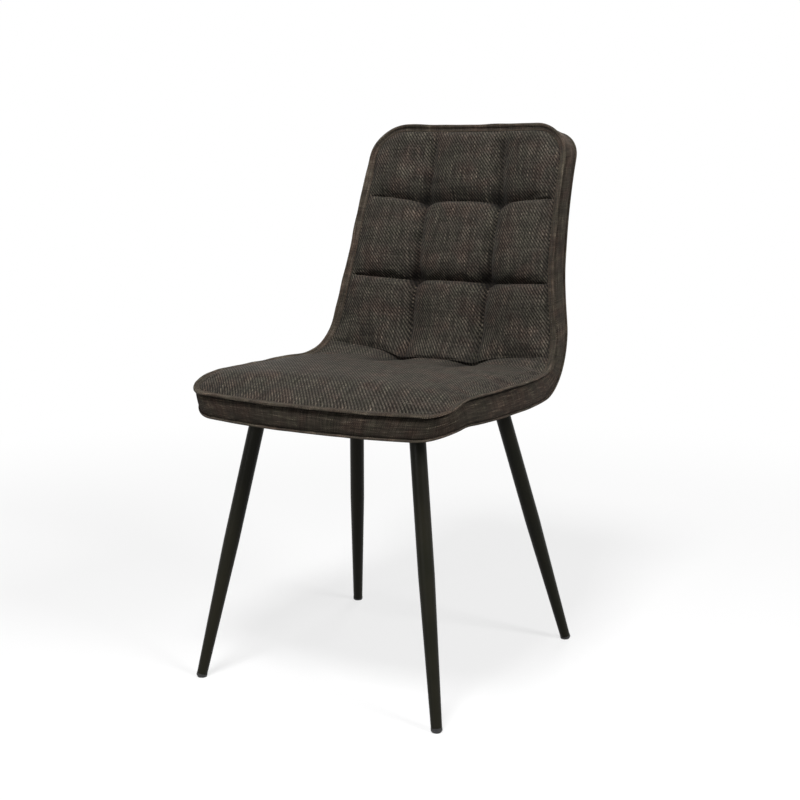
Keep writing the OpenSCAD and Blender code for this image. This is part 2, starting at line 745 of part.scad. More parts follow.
// A leg on the left side of the chair, cut level where it meets its plate
module left_leg(corner) {
    length = norm(leg_top(corner) - leg_foot(corner));
    bore_d = leg_d - 2 * leg_wall;
    foot_bore_d = leg_foot_d - 2 * leg_wall;
    difference() {
        on_leg(corner) difference() {
            union() {
                translate([0, 0, leg_taper_len]) cylinder(h = length + leg_d - leg_taper_len, d = leg_d);
                translate([0, 0, glide_h]) cylinder(h = leg_taper_len - glide_h, d1 = leg_foot_d, d2 = leg_d);
            }
            translate([0, 0, leg_taper_len]) cylinder(h = length + 2 * leg_d - leg_taper_len, d = bore_d);
            translate([0, 0, glide_h]) cylinder(h = leg_taper_len - glide_h, d1 = foot_bore_d, d2 = bore_d);
        }
        translate([leg_top(corner)[0], leg_top(corner)[1], plate_base_z + 2 * leg_d])
            cube([4 * leg_d, 4 * leg_d, 4 * leg_d], center = true);
    }
}

module leg(corner) {
    color(steel_colour) mirror([corner[0] > 0 ? 1 : 0, 0, 0]) left_leg([-1, corner[1]]);
}

// A moulded glide: a plug inside the leg, a shoulder under its end and a bevelled tread cut level with the
// floor
module left_glide(corner) {
    plug_r = leg_foot_d / 2 - leg_wall - fit_gap;
    head_r = leg_foot_d / 2 + 0.3;
    bevel_top = 2.2;
    bevel_h = 6;
    bevel_w = 5;
    intersection() {
        on_leg(corner) rotate_extrude() polygon([
            [0, bevel_top - bevel_h],
            [head_r - bevel_w, bevel_top - bevel_h],
            [head_r, bevel_top],
            [head_r, glide_h - fit_gap],
            [plug_r, glide_h - fit_gap],
            [plug_r, glide_h + glide_plug_h],
            [0, glide_h + glide_plug_h]
        ]);
        translate([leg_foot(corner)[0], leg_foot(corner)[1], 4 * leg_d]) cube(8 * leg_d, center = true);
    }
}

module glide(corner) {
    color(glide_colour) mirror([corner[0] > 0 ? 1 : 0, 0, 0]) left_glide([-1, corner[1]]);
}

seat_pad();
back_pad();
face_welt();
foam(seat_stations(inner_inset, FOAM_CORNERS));  // seat_foam
foam(back_stations(inner_inset, FOAM_CORNERS));  // back_foam
side_band();
lower_welt();
outer_cover();
dust_cover();
ply_shell();
tee_nuts();
plate(FRONT_LEFT);  // plate_front_left
plate(FRONT_RIGHT);  // plate_front_right
plate(REAR_LEFT);  // plate_rear_left
plate(REAR_RIGHT);  // plate_rear_right
leg(FRONT_LEFT);  // leg_front_left
leg(FRONT_RIGHT);  // leg_front_right
leg(REAR_LEFT);  // leg_rear_left
leg(REAR_RIGHT);  // leg_rear_right
glide(FRONT_LEFT);  // glide_front_left
glide(FRONT_RIGHT);  // glide_front_right
glide(REAR_LEFT);  // glide_rear_left
glide(REAR_RIGHT);  // glide_rear_right
bolts(FRONT_LEFT);  // bolts_front_left
bolts(FRONT_RIGHT);  // bolts_front_right
bolts(REAR_LEFT);  // bolts_rear_left
bolts(REAR_RIGHT);  // bolts_rear_right
washers();
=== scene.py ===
"""Upholstered dining chair: a quilted twill cover over a bent shell on four splayed steel legs.

The soft pieces are layers of one bent sheet. A point of the sheet has three coordinates: x across the
chair, s along its side profile from the front edge to the top edge, and n out of it towards the sitter.
Sizes are in millimetres, as in the part's own source, and meshes are written in metres.
"""

import logging
import math
from dataclasses import dataclass, field
from enum import Enum
from functools import cached_property
from typing import Sequence

import bpy
import numpy as np
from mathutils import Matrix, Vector


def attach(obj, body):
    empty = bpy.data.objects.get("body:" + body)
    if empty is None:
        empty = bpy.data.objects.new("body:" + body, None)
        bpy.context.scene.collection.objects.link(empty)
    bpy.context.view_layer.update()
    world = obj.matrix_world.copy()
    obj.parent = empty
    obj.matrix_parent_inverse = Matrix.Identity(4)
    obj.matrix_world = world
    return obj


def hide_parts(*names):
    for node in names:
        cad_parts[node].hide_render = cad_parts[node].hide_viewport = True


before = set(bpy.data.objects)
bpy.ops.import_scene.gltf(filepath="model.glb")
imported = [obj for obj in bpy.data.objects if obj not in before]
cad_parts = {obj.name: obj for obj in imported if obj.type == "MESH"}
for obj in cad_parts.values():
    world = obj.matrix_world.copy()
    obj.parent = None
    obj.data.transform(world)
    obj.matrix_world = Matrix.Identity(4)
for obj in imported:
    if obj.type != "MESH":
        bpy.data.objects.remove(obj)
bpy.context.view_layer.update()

Array = np.ndarray
Piece = bpy.types.Object
Material = bpy.types.Material

LOG = logging.getLogger("chair")
MM = 0.001
ROOT = "root"
WHITE = (1.0, 1.0, 1.0, 1.0)


# ---- Mesh helpers ----


def ease(t: Array) -> Array:
    """Smooth step from 0 to 1 over t = 0..1."""
    u = np.clip(t, 0.0, 1.0)
    return u * u * (3.0 - 2.0 * u)


def puff(t: Array, power: float) -> Array:
    """Rounded crown over t = 0..1, steeper at its ends as the power falls."""
    return np.maximum(0.0, 4.0 * t * (1.0 - t)) ** power


def rolled(distance: Array, reach: float, power: float = 0.5) -> Array:
    """Rounded edge of a pillow, from 0 at its seam to 1 at reach from the seam."""
    return (1.0 - (1.0 - np.clip(distance / reach, 0.0, 1.0)) ** 2) ** power


def share_of(value: Array, low: float, high: float) -> Array:
    """Share of the way from low to high, held to 0..1."""
    return np.clip((value - low) / (high - low), 0.0, 1.0)


def gathered(count: int, pull: float) -> Array:
    """Shares 0..1 in count steps, drawn together at both ends.

    Args:
        count: number of steps.
        pull: 0 for even steps, up to 0.15 for steps that shrink to nothing at the ends.

    Returns:
        count + 1 rising shares.
    """
    t = np.linspace(0.0, 1.0, count + 1)
    return t - pull * np.sin(2.0 * np.pi * t)


def points_of(*coordinates: Array | float) -> Array:
    """Points whose coordinates are given one by one, each spread to the shape that they share."""
    return np.stack(np.broadcast_arrays(*coordinates), axis=-1)


def travelled(points: Array) -> Array:
    """Distance along a line of points from its first one."""
    return np.concatenate([[0.0], np.cumsum(np.linalg.norm(np.diff(points, axis=0), axis=1))])


def along(path: Array, shares: Array) -> Array:
    """Points at the given shares of a path's length.

    Args:
        path: (n, k) corner points.
        shares: shares of the length, 0..1.

    Returns:
        (len(shares), k) points.
    """
    lengths = travelled(path)
    return points_of(*(np.interp(shares * lengths[-1], lengths, line) for line in path.T))


def coons(left: Array, right: Array, low: Array, high: Array,
          u: Array, v: Array) -> Array:
    """Grid of points that fills the space between four edges.

    Args:
        left, right: edges at u = 0 and u = 1, sampled at v.
        low, high: edges at v = 0 and v = 1, sampled at u.
        u, v: shares across and along.

    Returns:
        (len(v), len(u), k) points.
    """
    across, up = u[None, :, None], v[:, None, None]
    sides = (1 - across) * left[:, None] + across * right[:, None]
    ends = (1 - up) * low[None] + up * high[None]
    near, far = ((1 - up) * low[i] + up * high[i] for i in (0, -1))
    return sides + ends - ((1 - across) * near + across * far)


def three_columns(centre: Array, right: Array) -> Array:
    """One grid of (x, s) points from a middle block, the block on its right and its mirror image."""
    left = right[:, ::-1] * np.array([-1.0, 1.0])
    return np.concatenate([left[:, :-1], centre, right[:, 1:]], axis=1)


def grid_faces(rows: int, cols: int, ring: bool = False, tube: bool = False, start: int = 0,
               flip: bool = False) -> Array:
    """Four-sided faces over a grid of points.

    Args:
        rows, cols: size of the grid.
        ring: the last row joins the first.
        tube: the last column joins the first.
        start: index of the grid's first point.
        flip: turn the faces over.

    Returns:
        (n, 4) point indices.
    """
    i = np.arange(rows if ring else rows - 1)[:, None]
    j = np.arange(cols if tube else cols - 1)[None, :]
    i2, j2 = (i + 1) % rows, (j + 1) % cols
    quads = points_of(i * cols + j, i * cols + j2, i2 * cols + j2, i2 * cols + j).reshape(-1, 4)
    return (quads[:, ::-1] if flip else quads) + start


def loop_faces(a: Array, b: Array) -> Array:
    """Four-sided faces between two closed loops of the same number of points."""
    return points_of(a, np.roll(a, -1), np.roll(b, -1), b)


def border_of(rows: int, cols: int) -> Array:
    """Indices round the border of a grid, along its first row, up its last column and back."""
    index = np.arange(rows * cols).reshape(rows, cols)
    return np.concatenate([index[0, :-1], index[:-1, -1], index[-1, :0:-1], index[:0:-1, 0]])


def placed(name: str, data: bpy.types.ID) -> Piece:
    """Puts a mesh, a lamp or a camera into the scene.

    Args:
        name: the object's name.
        data: the mesh, lamp or camera.

    Returns:
        The new object.
    """
    thing = bpy.data.objects.new(name, data)
    bpy.context.scene.collection.objects.link(thing)
    return thing


def mesh_of(name: str, points: Array, faces: Sequence[Sequence[int]]) -> bpy.types.Mesh:
    """Makes a mesh from points in millimetres.

    Args:
        name: the mesh's name.
        points: (n, 3) points in millimetres.
        faces: point indices of each face.

    Returns:
        The new mesh.
    """
    mesh = bpy.data.meshes.new(name)
    mesh.from_pydata((points * MM).tolist(), [], [list(map(int, face)) for face in faces])
    mesh.update()
    return mesh


def vertices_of(mesh: bpy.types.Mesh) -> Array:
    """Points of a mesh, in metres.

    Args:
        mesh: the mesh to read.

    Returns:
        (n, 3) points.
    """
    points = np.zeros(len(mesh.vertices) * 3, np.float32)
    mesh.vertices.foreach_get("co", points)
    return points.reshape(-1, 3)


def new_piece(name: str, node: str | None, points: Array, faces: Sequence[Sequence[int]],
              weave: Array | None = None, levels: int = 0) -> Piece:
    """Makes a smooth-shaded piece that rides on the chair's one body.

    Args:
        name: the piece's name.
        node: the CAD node that it stands for, if any.
        points: (n, 3) points in millimetres.
        faces: point indices of each face.
        weave: (n, 2) place of each point on the cloth as cut, in millimetres, or (n, 3) with the
        depth by which a tuft draws the cloth together there, which the cloth darkens as painted shade.
        levels: how often the finished mesh is subdivided.

    Returns:
        The new object.
    """
    mesh = mesh_of(name, points, faces)
    mesh.shade_smooth()
    if weave is not None:
        places = np.zeros((len(weave), 3), np.float32)
        places[:, :weave.shape[1]] = weave * MM
        mesh.attributes.new("weave", "FLOAT_VECTOR", "POINT").data.foreach_set("vector", places.ravel())
    piece = placed(name, mesh)
    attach(piece, ROOT)
    if node:
        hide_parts(node)
    if levels:
        rounder = piece.modifiers.new("Subdivision", "SUBSURF")
        rounder.levels = rounder.render_levels = levels
    return piece


def crease(piece: Piece, points: Array) -> None:
    """Keeps the edges that join the given points crisp when the mesh is subdivided.

    Args:
        piece: the piece.
        points: indices of the held points.
    """
    mesh = piece.data
    held = np.zeros(len(mesh.vertices), bool)
    held[points] = True
    ends = np.zeros(len(mesh.edges) * 2, np.int32)
    mesh.edges.foreach_get("vertices", ends)
    sharp = held[ends.reshape(-1, 2)].all(axis=1).astype(np.float32)
    mesh.attributes.new("crease_edge", "FLOAT", "EDGE").data.foreach_set("value", sharp)


# ---- Finishes ----


def linear(code: str) -> tuple[float, float, float, float]:
    """Linear colour of an sRGB hex code such as #4b443e.

    Args:
        code: a hash sign and six hex digits.

    Returns:
        Red, green, blue and alpha, from 0 to 1.
    """
    parts = (int(code[i:i + 2], 16) / 255.0 for i in (1, 3, 5))
    red, green, blue = (c / 12.92 if c <= 0.04045 else ((c + 0.055) / 1.055) ** 2.4 for c in parts)
    return red, green, blue, 1.0


class Shading:
    """The node tree of a material or a world, whose nodes are looked up by name."""

    def __init__(self, owner: Material | bpy.types.World) -> None:
        """Starts with an empty tree.

        Args:
            owner: the material or world to shade.
        """
        owner.use_nodes = True
        self.owner, self.tree = owner, owner.node_tree
        self.tree.nodes.clear()

    def add(self, name: str, kind: str, links: dict[int | str, object] | None = None,
            **settings: object) -> bpy.types.Node:
        """Adds one node.

        Args:
            name: what later nodes call it.
            kind: the node's type, without its ShaderNode prefix.
            links: value of each input, where text names another node's output as "node.Output".
            settings: the node's own settings.

        Returns:
            The new node.
        """
        node = self.tree.nodes.new("ShaderNode" + kind)
        node.name = name
        for key, value in settings.items():
            setattr(node, key, value)
        for socket, value in (links or {}).items():
            if isinstance(value, str):
                source, _, output = value.partition(".")
                out = self.tree.nodes[source].outputs[int(output) if output.isdigit() else output or 0]
                self.tree.links.new(out, node.inputs[socket])
            else:
                node.inputs[socket].default_value = value
        return node

    def ramp(self, name: str, factor: str, stops: Sequence[tuple[float, str]]) -> None:
        """Adds a colour ramp whose stops are given as (place, hex code).

        Args:
            name: what later nodes call it.
            factor: the node output that it reads.
            stops: (place, hex code) pairs, places from 0 to 1.
        """
        elements = self.add(name, "ValToRGB", {0: factor}).color_ramp.elements
        elements[0].position, elements[1].position = stops[0][0], stops[-1][0]
        elements[0].color, elements[1].color = linear(stops[0][1]), linear(stops[-1][1])
        for place, code in stops[1:-1]:
            elements.new(place).color = linear(code)

    def surface(self, **inputs: object) -> Material:
        """Adds the surface shader and the output. Underscores in the input names stand for spaces."""
        self.add("surface", "BsdfPrincipled", {k.replace("_", " "): v for k, v in inputs.items()})
        self.add("output", "OutputMaterial", {"Surface": "surface.BSDF"})
        return self.owner


class Lay(Enum):
    """How the warp and the weft cross in a cloth: picks that a warp thread passes over and under."""

    PLAIN = 1
    TWILL = 2


@dataclass(frozen=True)
class MelangeCloth:
    """Polyester mélange upholstery cloth, woven from spun yarns dyed in several greys and browns.

    The eye sees steep diagonal ribs, single pale and dark threads both ways, and soft reddish and
    greenish clouds where one yarn takes over. The surface is matt, with a faint bloom at grazing angles.
    """

    name: str
    lay: Lay
    warp_mm: float = 1.38
    weft_mm: float = 1.65
    warp: tuple[str, str, str, str] = ("#423d37", "#5d5750", "#766f65", "#a3998c")
    weft: tuple[str, str, str, str] = ("#22201e", "#312f2b", "#403d38", "#5f5951")
    cloud_red: str = "#664b44"
    cloud_green: str = "#424c3e"
    rib_height_mm: float = 0.45
    roughness: float = 0.9
    bloom: float = 0.05

    def material(self) -> Material:
        """Draws up the material from the cloth's own threads, with painted shade between them and round the
        tufts.
        """
        sh = Shading(bpy.data.materials.new(self.name))
        sh.add("lay", "Attribute", attribute_name="weave")
        sh.add("place", "SeparateXYZ", {0: "lay.Vector"})
        self._threads(sh)
        self._yarns(sh)
        self._clouds(sh)
        # Painted shade: the colour darkens where the threads dip between the ribs and lightens a little on
        # their crowns.
        sh.add("shade", "MapRange", {0: "height.0", 1: 0.0, 2: 0.8, 3: 0.46, 4: 1.08})
        # Painted shade: where a tuft draws the cloth in, its colour is darkened by the tuft's depth, as the
        # shadow in the pit.
        sh.add("closed", "MapRange", {0: "place.Z", 1: 0.5 * MM, 2: 9.0 * MM, 3: 1.0, 4: 0.28})
        sh.add("shut", "Math", {0: "shade.0", 1: "closed.0"}, operation="MULTIPLY")
        # The painted shade of the ribs and the tufts darkens the clouded yarn colour.
        sh.add("deep", "Mix", {0: 1.0, 6: "cloudy.2", 7: "shut.0"}, data_type="RGBA",
               blend_type="MULTIPLY")
        sh.add("relief", "Bump", {"Strength": 0.75, "Distance": self.rib_height_mm * MM,
                                  "Height": "height.0"})
        return sh.surface(Base_Color="deep.2", Roughness=self.roughness, IOR=1.5, Sheen_Weight=self.bloom,
                          Sheen_Roughness=0.45, Sheen_Tint=linear("#b0aca4"), Specular_IOR_Level=0.12,
                          Normal="relief.Normal")

    def _threads(self, sh: Shading) -> None:
        """Thread numbers, what passes on top, and the height of the cloth's face.

        Args:
            sh: the node tree to add to.
        """
        over = float(self.lay.value)
        sums = []
        for axis, cell, spacing in (("X", "u", self.warp_mm), ("Y", "v", self.weft_mm)):
            sums += [(cell, "MULTIPLY", f"place.{axis}", 1.0 / (spacing * MM)),
                     (cell + "_no", "FLOOR", cell), (cell + "_in", "FRACT", cell),
                     (cell + "_turn", "MULTIPLY", cell + "_in", math.pi),
                     (cell + "_round", "SINE", cell + "_turn")]
        sums += [("sum", "ADD", "u_no", "v_no"), ("phase", "FLOORED_MODULO", "sum", 2.0 * over),
                 ("warp_up", "LESS_THAN", "phase", over - 0.5)]
        for cell, other, shift in (("u", "v", 0.0), ("v", "u", -over)):
            sums += [(cell + "_at", "ADD", "phase", other + "_in"),
                     (cell + "_float", "ADD", cell + "_at", shift),
                     (cell + "_angle", "MULTIPLY", cell + "_float", math.pi / over),
                     (cell + "_bow", "SINE", cell + "_angle"),
                     (cell + "_arch", "MULTIPLY_ADD", cell + "_bow", 0.55, 0.45),
                     (cell + "_height", "MULTIPLY", cell + "_arch", cell + "_round")]
        for name, operation, *values in sums:
            sh.add(name, "Math", dict(enumerate(values)), operation=operation)
        sh.add("height", "Mix", {0: "warp_up", 2: "v_height", 3: "u_height"}, data_type="FLOAT")

    def _yarns(self, sh: Shading) -> None:
        """Colour of each thread, which drifts along its length."""
        for cell, other, codes, depth in (("u", "v", self.warp, 0.0), ("v", "u", self.weft, 7.3)):
            sh.add(cell + "_own", "Math", {0: cell + "_no", 1: 0.77}, operation="MULTIPLY")
            sh.add(cell + "_slow", "Math", {0: other, 1: 0.045}, operation="MULTIPLY")
            sh.add(cell + "_key", "CombineXYZ", {0: cell + "_own", 1: cell + "_slow", 2: depth})
            sh.add(cell + "_dye", "TexNoise", {"Vector": cell + "_key", "Scale": 1.0, "Detail": 2.0,
                                               "Roughness": 0.6})
            sh.ramp(cell + "_colour", cell + "_dye.0", list(zip((0.28, 0.48, 0.62, 0.8), codes)))
        sh.add("yarn", "Mix", {0: "warp_up", 6: "v_colour.0", 7: "u_colour.0"}, data_type="RGBA")

    def _clouds(self, sh: Shading) -> None:
        """Reddish and greenish clouds 20 to 60 mm across, with 3 mm streaks and 14 mm bars.

        Args:
            sh: the node tree to add to.
        """
        sh.add("cloud", "TexNoise", {"Vector": "lay.Vector", "Scale": 24.0, "Detail": 3.0,
                                     "Roughness": 0.6})
        sh.ramp("cloud_hue", "cloud.0", [(0.36, self.cloud_green), (0.5, "#4b4842"),
                                         (0.64, self.cloud_red)])
        sh.add("cloudy_hue", "Mix", {0: 0.66, 6: "yarn.2", 7: "cloud_hue.0"}, data_type="RGBA",
               blend_type="SOFT_LIGHT")
        for name, stretch in (("streak_up", (330.0, 26.0, 1.0)), ("streak_over", (26.0, 330.0, 1.0)),
                              ("bar_up", (75.0, 6.0, 1.0)), ("bar_over", (6.0, 75.0, 1.0))):
            sh.add(name + "_lay", "Mapping", {"Vector": "lay.Vector", "Scale": stretch})
            sh.add(name, "TexNoise", {"Vector": name + "_lay.0", "Scale": 1.0, "Detail": 1.0})
        for name in ("streak", "bar"):
            sh.add(name + "s", "Math", {0: name + "_up.0", 1: name + "_over.0"}, operation="ADD")
        sh.add("both_tones", "Math", {0: "streaks", 1: "bars"}, operation="ADD")
        sh.add("streak_tone", "MapRange", {0: "both_tones", 1: 1.6, 2: 2.4, 3: 0.72, 4: 1.3})
        sh.add("cloudy", "Mix", {0: 1.0, 6: "cloudy_hue.2", 7: "streak_tone.0"}, data_type="RGBA",
               blend_type="MULTIPLY")


@dataclass(frozen=True)
class Texture:
    """A texture that lies in the piece's own space, as its node's type, inputs and settings."""

    kind: str
    inputs: dict[str, float]
    settings: dict[str, str] = field(default_factory=dict)


@dataclass(frozen=True)
class Finish:
    """A finish drawn from up to three textures.

    The tone texture runs through the colour stops and, where gloss is given, through a range of
    roughness. The relief is the rise texture, or the tone's, with share times the over texture on top.
    """

    name: str
    tone: Texture
    stops: tuple[tuple[float, str], ...]
    strength: float
    depth_mm: float
    inputs: dict[str, float]
    rise: Texture | None = None
    over: Texture | None = None
    share: float = 1.0
    gloss: tuple[float, float] | None = None
    stretch: tuple[float, float, float] | None = None

    def material(self) -> Material:
        """Draws up the material."""
        sh = Shading(bpy.data.materials.new(self.name))
        sh.add("place", "TexCoord")
        lay, inputs = "place.Object", dict(self.inputs)
        if self.stretch:
            sh.add("lay", "Mapping", {"Vector": lay, "Scale": self.stretch})
            lay = "lay.0"
        for name, texture in (("tone", self.tone), ("rise", self.rise), ("over", self.over)):
            if texture:
                sh.add(name, "Tex" + texture.kind, {"Vector": lay, **texture.inputs}, **texture.settings)
        sh.ramp("colour", "tone.0", self.stops)
        height = "rise.0" if self.rise else "tone.0"
        if self.over:
            sh.add("sum", "Math", {0: "over.0", 1: self.share, 2: height}, operation="MULTIPLY_ADD")
            height = "sum"
        if self.gloss:
            low, high = self.gloss
            sh.add("gloss", "MapRange", {0: "tone.0", 1: 0.3, 2: 0.7, 3: low, 4: high})
            inputs["Roughness"] = "gloss.0"
        sh.add("relief", "Bump", {"Strength": self.strength, "Distance": self.depth_mm * MM,
                                  "Height": height})
        return sh.surface(Base_Color="colour.0", Normal="relief.Normal", **inputs)


# Twisted thread with a slight gloss on its plies, a third of a millimetre apart.
SEWING_THREAD = Finish(
    "SewingThread_BondedPolyester", strength=0.4, depth_mm=0.1, inputs={"Roughness": 0.55, "IOR": 1.53},
    tone=Texture("Wave", {"Scale": 900.0, "Distortion": 1.0}, {"bands_direction": "DIAGONAL"}),
    stops=((0.0, "#1b1815"), (1.0, "#2b2622")))
# Satin black, with a 1.6 mm orange peel, a fine pigment grain and a slightly uneven gloss.
POWDER_COAT = Finish(
    "Steel_BlackPowderCoat", strength=0.22, depth_mm=0.2, inputs={"IOR": 1.5, "Specular_IOR_Level": 0.1},
    tone=Texture("Noise", {"Scale": 14.0, "Detail": 3.0}), stops=((0.35, "#191911"), (0.7, "#211f17")),
    rise=Texture("Noise", {"Scale": 625.0, "Detail": 2.0}), gloss=(0.34, 0.44),
    over=Texture("Noise", {"Scale": 9000.0, "Detail": 1.0}), share=0.25)
# Pale grey metal with a bright, uneven gloss, mottled at 3 mm.
ZINC_PLATE = Finish(
    "Steel_ZincPlated", strength=0.15, depth_mm=0.1, inputs={"Metallic": 1.0}, gloss=(0.26, 0.42),
    tone=Texture("Noise", {"Scale": 330.0, "Detail": 4.0}), stops=((0.3, "#8f9496"), (0.7, "#a9adb0")))
# Matt black from a spark-eroded tool, with an even pebble 0.5 mm across and paler scuffs.
MOULDED_GLIDE = Finish(
    "Polypropylene_Moulded", strength=0.3, depth_mm=0.08, inputs={"Roughness": 0.5, "IOR": 1.49},
    tone=Texture("Noise", {"Scale": 160.0, "Detail": 5.0}), stops=((0.4, "#151515"), (0.75, "#262524")),
    rise=Texture("Voronoi", {"Scale": 2000.0}))
# Pale pinkish brown, with short dark flecks 0.5 mm wide and 8 mm long along the grain.
BEECH_PLYWOOD = Finish(
    "BeechPlywood_Sanded", strength=0.2, depth_mm=0.1, inputs={"Roughness": 0.6, "IOR": 1.5},
    tone=Texture("Noise", {"Scale": 1.0, "Detail": 3.0}), stretch=(2000.0, 120.0, 120.0),
    stops=((0.3, "#9a7143"), (0.55, "#c79f6b"), (0.8, "#d8b584")))
# Dull cream, with open cells 0.8 mm across.
CUT_FOAM = Finish(
    "PolyetherFoam_Cut", strength=0.6, depth_mm=0.4, inputs={"Roughness": 0.95, "IOR": 1.5},
    tone=Texture("Voronoi", {"Scale": 1250.0}), stops=((0.0, "#a89d74"), (0.6, "#d9cfa8")))
# Thin matt black cloth with sealed dots 1.6 mm apart, faint hairs and slack waves 40 mm across.
SPUNBOND = Finish(
    "Polypropylene_Spunbond", strength=0.5, depth_mm=0.4, inputs={"Roughness": 0.8, "IOR": 1.49},
    tone=Texture("Noise", {"Scale": 1500.0, "Detail": 4.0}), stops=((0.3, "#121212"), (0.7, "#1d1d1d")),
    rise=Texture("Voronoi", {"Scale": 620.0, "Randomness": 0.1}),
    over=Texture("Noise", {"Scale": 25.0, "Detail": 2.0}), share=8.0)


# ---- The bent sheet ----


@dataclass(frozen=True)
class BentSheet:
    """The chair's sheet: its side profile, its outline and its quilting, as in the part's source."""

    seat_h: float = 478.0
    front_reach: float = 262.5
    roll_len: float = 90.0
    roll_angle: float = 27.0
    roll_lean: float = 0.2
    flat_len: float = 260.0
    bend_r: float = 77.0
    lean_low: float = 9.5
    lean_top: float = 20.5
    lumbar_len: float = 207.0
    head_len: float = 138.5
    front_w: float = 462.0
    seat_w: float = 484.0
    waist_w: float = 400.0
    top_w: float = 378.0
    face_front_r: float = 35.0
    low_front_r: float = 52.0
    face_top_r: float = 67.0
    low_top_r: float = 48.0
    front_bow: float = 33.0
    wrap_depth: float = 22.0
    top_wrap_depth: float = 9.0
    top_cell_h: float = 132.0
    middle_cell_h: float = 142.0
    bottom_cell_h: float = 121.0
    column_w_top: float = 130.0
    column_w_upper: float = 142.0
    column_w_low: float = 134.0
    upper_pull: float = 5.0
    upper_rise: float = 2.0
    middle_pull: float = 2.0
    low_pull: float = 9.0
    low_sag: float = 7.5
    low_rise: float = 7.0
    stitch_inset: float = 12.7
    pad_depth: float = 20.0
    lumbar_extra: float = 11.0
    top_extra: float = 1.0
    front_lift: float = 4.0
    side_lift: float = 4.0
    foam_t: float = 10.7
    ply_t: float = 9.0
    cover_t: float = 1.5
    dust_t: float = 0.8
    welt_t: float = 3.4
    layer_gap: float = 0.3
    inner_inset: float = 10.5
    cover_inset: float = 8.5

    @cached_property
    def bend_turn(self) -> float:
        """Angle through which the sheet turns from seat to back, in degrees."""
        return 90.0 - self.lean_low

    @cached_property
    def bend_start(self) -> float:
        """Where the bend starts."""
        return self.roll_len + self.flat_len

    @cached_property
    def bend_len(self) -> float:
        """Length of the bend at the seam line."""
        return self.bend_r * math.radians(self.bend_turn)

    @cached_property
    def bend_end(self) -> float:
        """Where the bend ends."""
        return self.bend_start + self.bend_len

    @cached_property
    def head_start(self) -> float:
        """Where the straight top stretch starts."""
        return self.bend_end + self.lumbar_len

    @cached_property
    def length(self) -> float:
        """Length of the sheet from the front edge to the top edge."""
        return self.head_start + self.head_len

    @cached_property
    def seams(self) -> tuple[float, float, float]:
        """Where the three seams across the back lie, the lowest first."""
        upper = self.length - self.top_cell_h
        middle = upper - self.middle_cell_h
        return middle - self.bottom_cell_h, middle, upper

    @cached_property
    def split(self) -> float:
        """Where the cloth outside the back ends and the cloth under the seat starts."""
        return self.bend_start + 0.37 * self.bend_len

    @cached_property
    def foam_top(self) -> float:
        """Height of the foam's face."""
        return -self.pad_depth - self.layer_gap

    @cached_property
    def ply_top(self) -> float:
        """Height of the shell's face."""
        return self.foam_top - self.foam_t - self.layer_gap

    @cached_property
    def ply_base(self) -> float:
        """Height of the shell's underside."""
        return self.ply_top - self.ply_t

    @cached_property
    def cover_top(self) -> float:
        """Height of the inner face of the cloth outside the shell."""
        return self.ply_base - self.layer_gap

    @cached_property
    def middle_y(self) -> float:
        """Shift that puts the middle of the whole chair on the origin."""
        ends = self._unshifted(np.zeros(2), np.array([self.length - self.cover_inset, 0.0]),
                               np.array([self.cover_top - self.cover_t, self.welt_t / 2]))
        return float(ends[0, 1] + ends[1, 1]) / 2

    def profile(self, s: Array) -> tuple[Array, Array, Array]:
        """Side profile: y, z and angle in radians at s.

        Args:
            s: place along the sheet.

        Returns:
            y, z and angle at each s.
        """
        turn = math.radians(self.bend_turn)
        roll = math.radians(self.roll_angle)
        roll_r = self.roll_len / roll
        stretches = (
            (self.roll_len, roll, -roll),
            (self.flat_len, 0.0, 0.0),
            (self.bend_len, 0.0, turn),
            (self.lumbar_len, turn, math.radians(self.lean_low - self.lean_top)),
            (self.head_len, math.radians(90.0 - self.lean_top), 0.0),
        )
        y, z, angle = np.zeros_like(s), np.zeros_like(s), np.zeros_like(s)
        start, at_y, at_z = 0.0, -self.front_reach, self.seat_h - roll_r * (1 - math.cos(roll))
        for i, (length, a, whole) in enumerate(stretches):
            here = np.ones_like(s, bool) if i == 0 else s >= start
            d = np.append(s[here] - start, length)
            rate = whole / length
            if whole == 0.0:
                step_y, step_z = d * math.cos(a), d * math.sin(a)
            else:
                step_y = (np.sin(a + rate * d) - math.sin(a)) / rate
                step_z = (math.cos(a) - np.cos(a + rate * d)) / rate
            y[here], z[here], angle[here] = at_y + step_y[:-1], at_z + step_z[:-1], a + rate * d[:-1]
            start, at_y, at_z = start + length, at_y + step_y[-1], at_z + step_z[-1]
        return y, z, angle

    def half_w(self, s: Array) -> Array:
        """Half the width at s, before the corners are rounded.

        Args:
            s: place along the sheet.

        Returns:
            Half widths in millimetres.
        """
        waist, narrows = self.bend_end + 0.58 * self.lumbar_len, 0.7 * self.bend_start
        top = self.length - self.face_top_r
        lead = waist - self.lumbar_len / 2
        return (self.front_w
                + (self.seat_w - self.front_w) * ease(s / (0.6 * self.bend_start))
                + (self.waist_w - self.seat_w) * ease((s - narrows) / (waist - narrows))
                + (self.top_w - self.waist_w) * ease((s - lead) / (top - lead))) / 2

    def corner(self, r: float, top: bool) -> tuple[float, float]:
        """Centre (x, s) of the right corner of radius r, at the top or at the front."""
        s = self.length - r if top else r
        return float(self.half_w(np.array(s))) - r, s

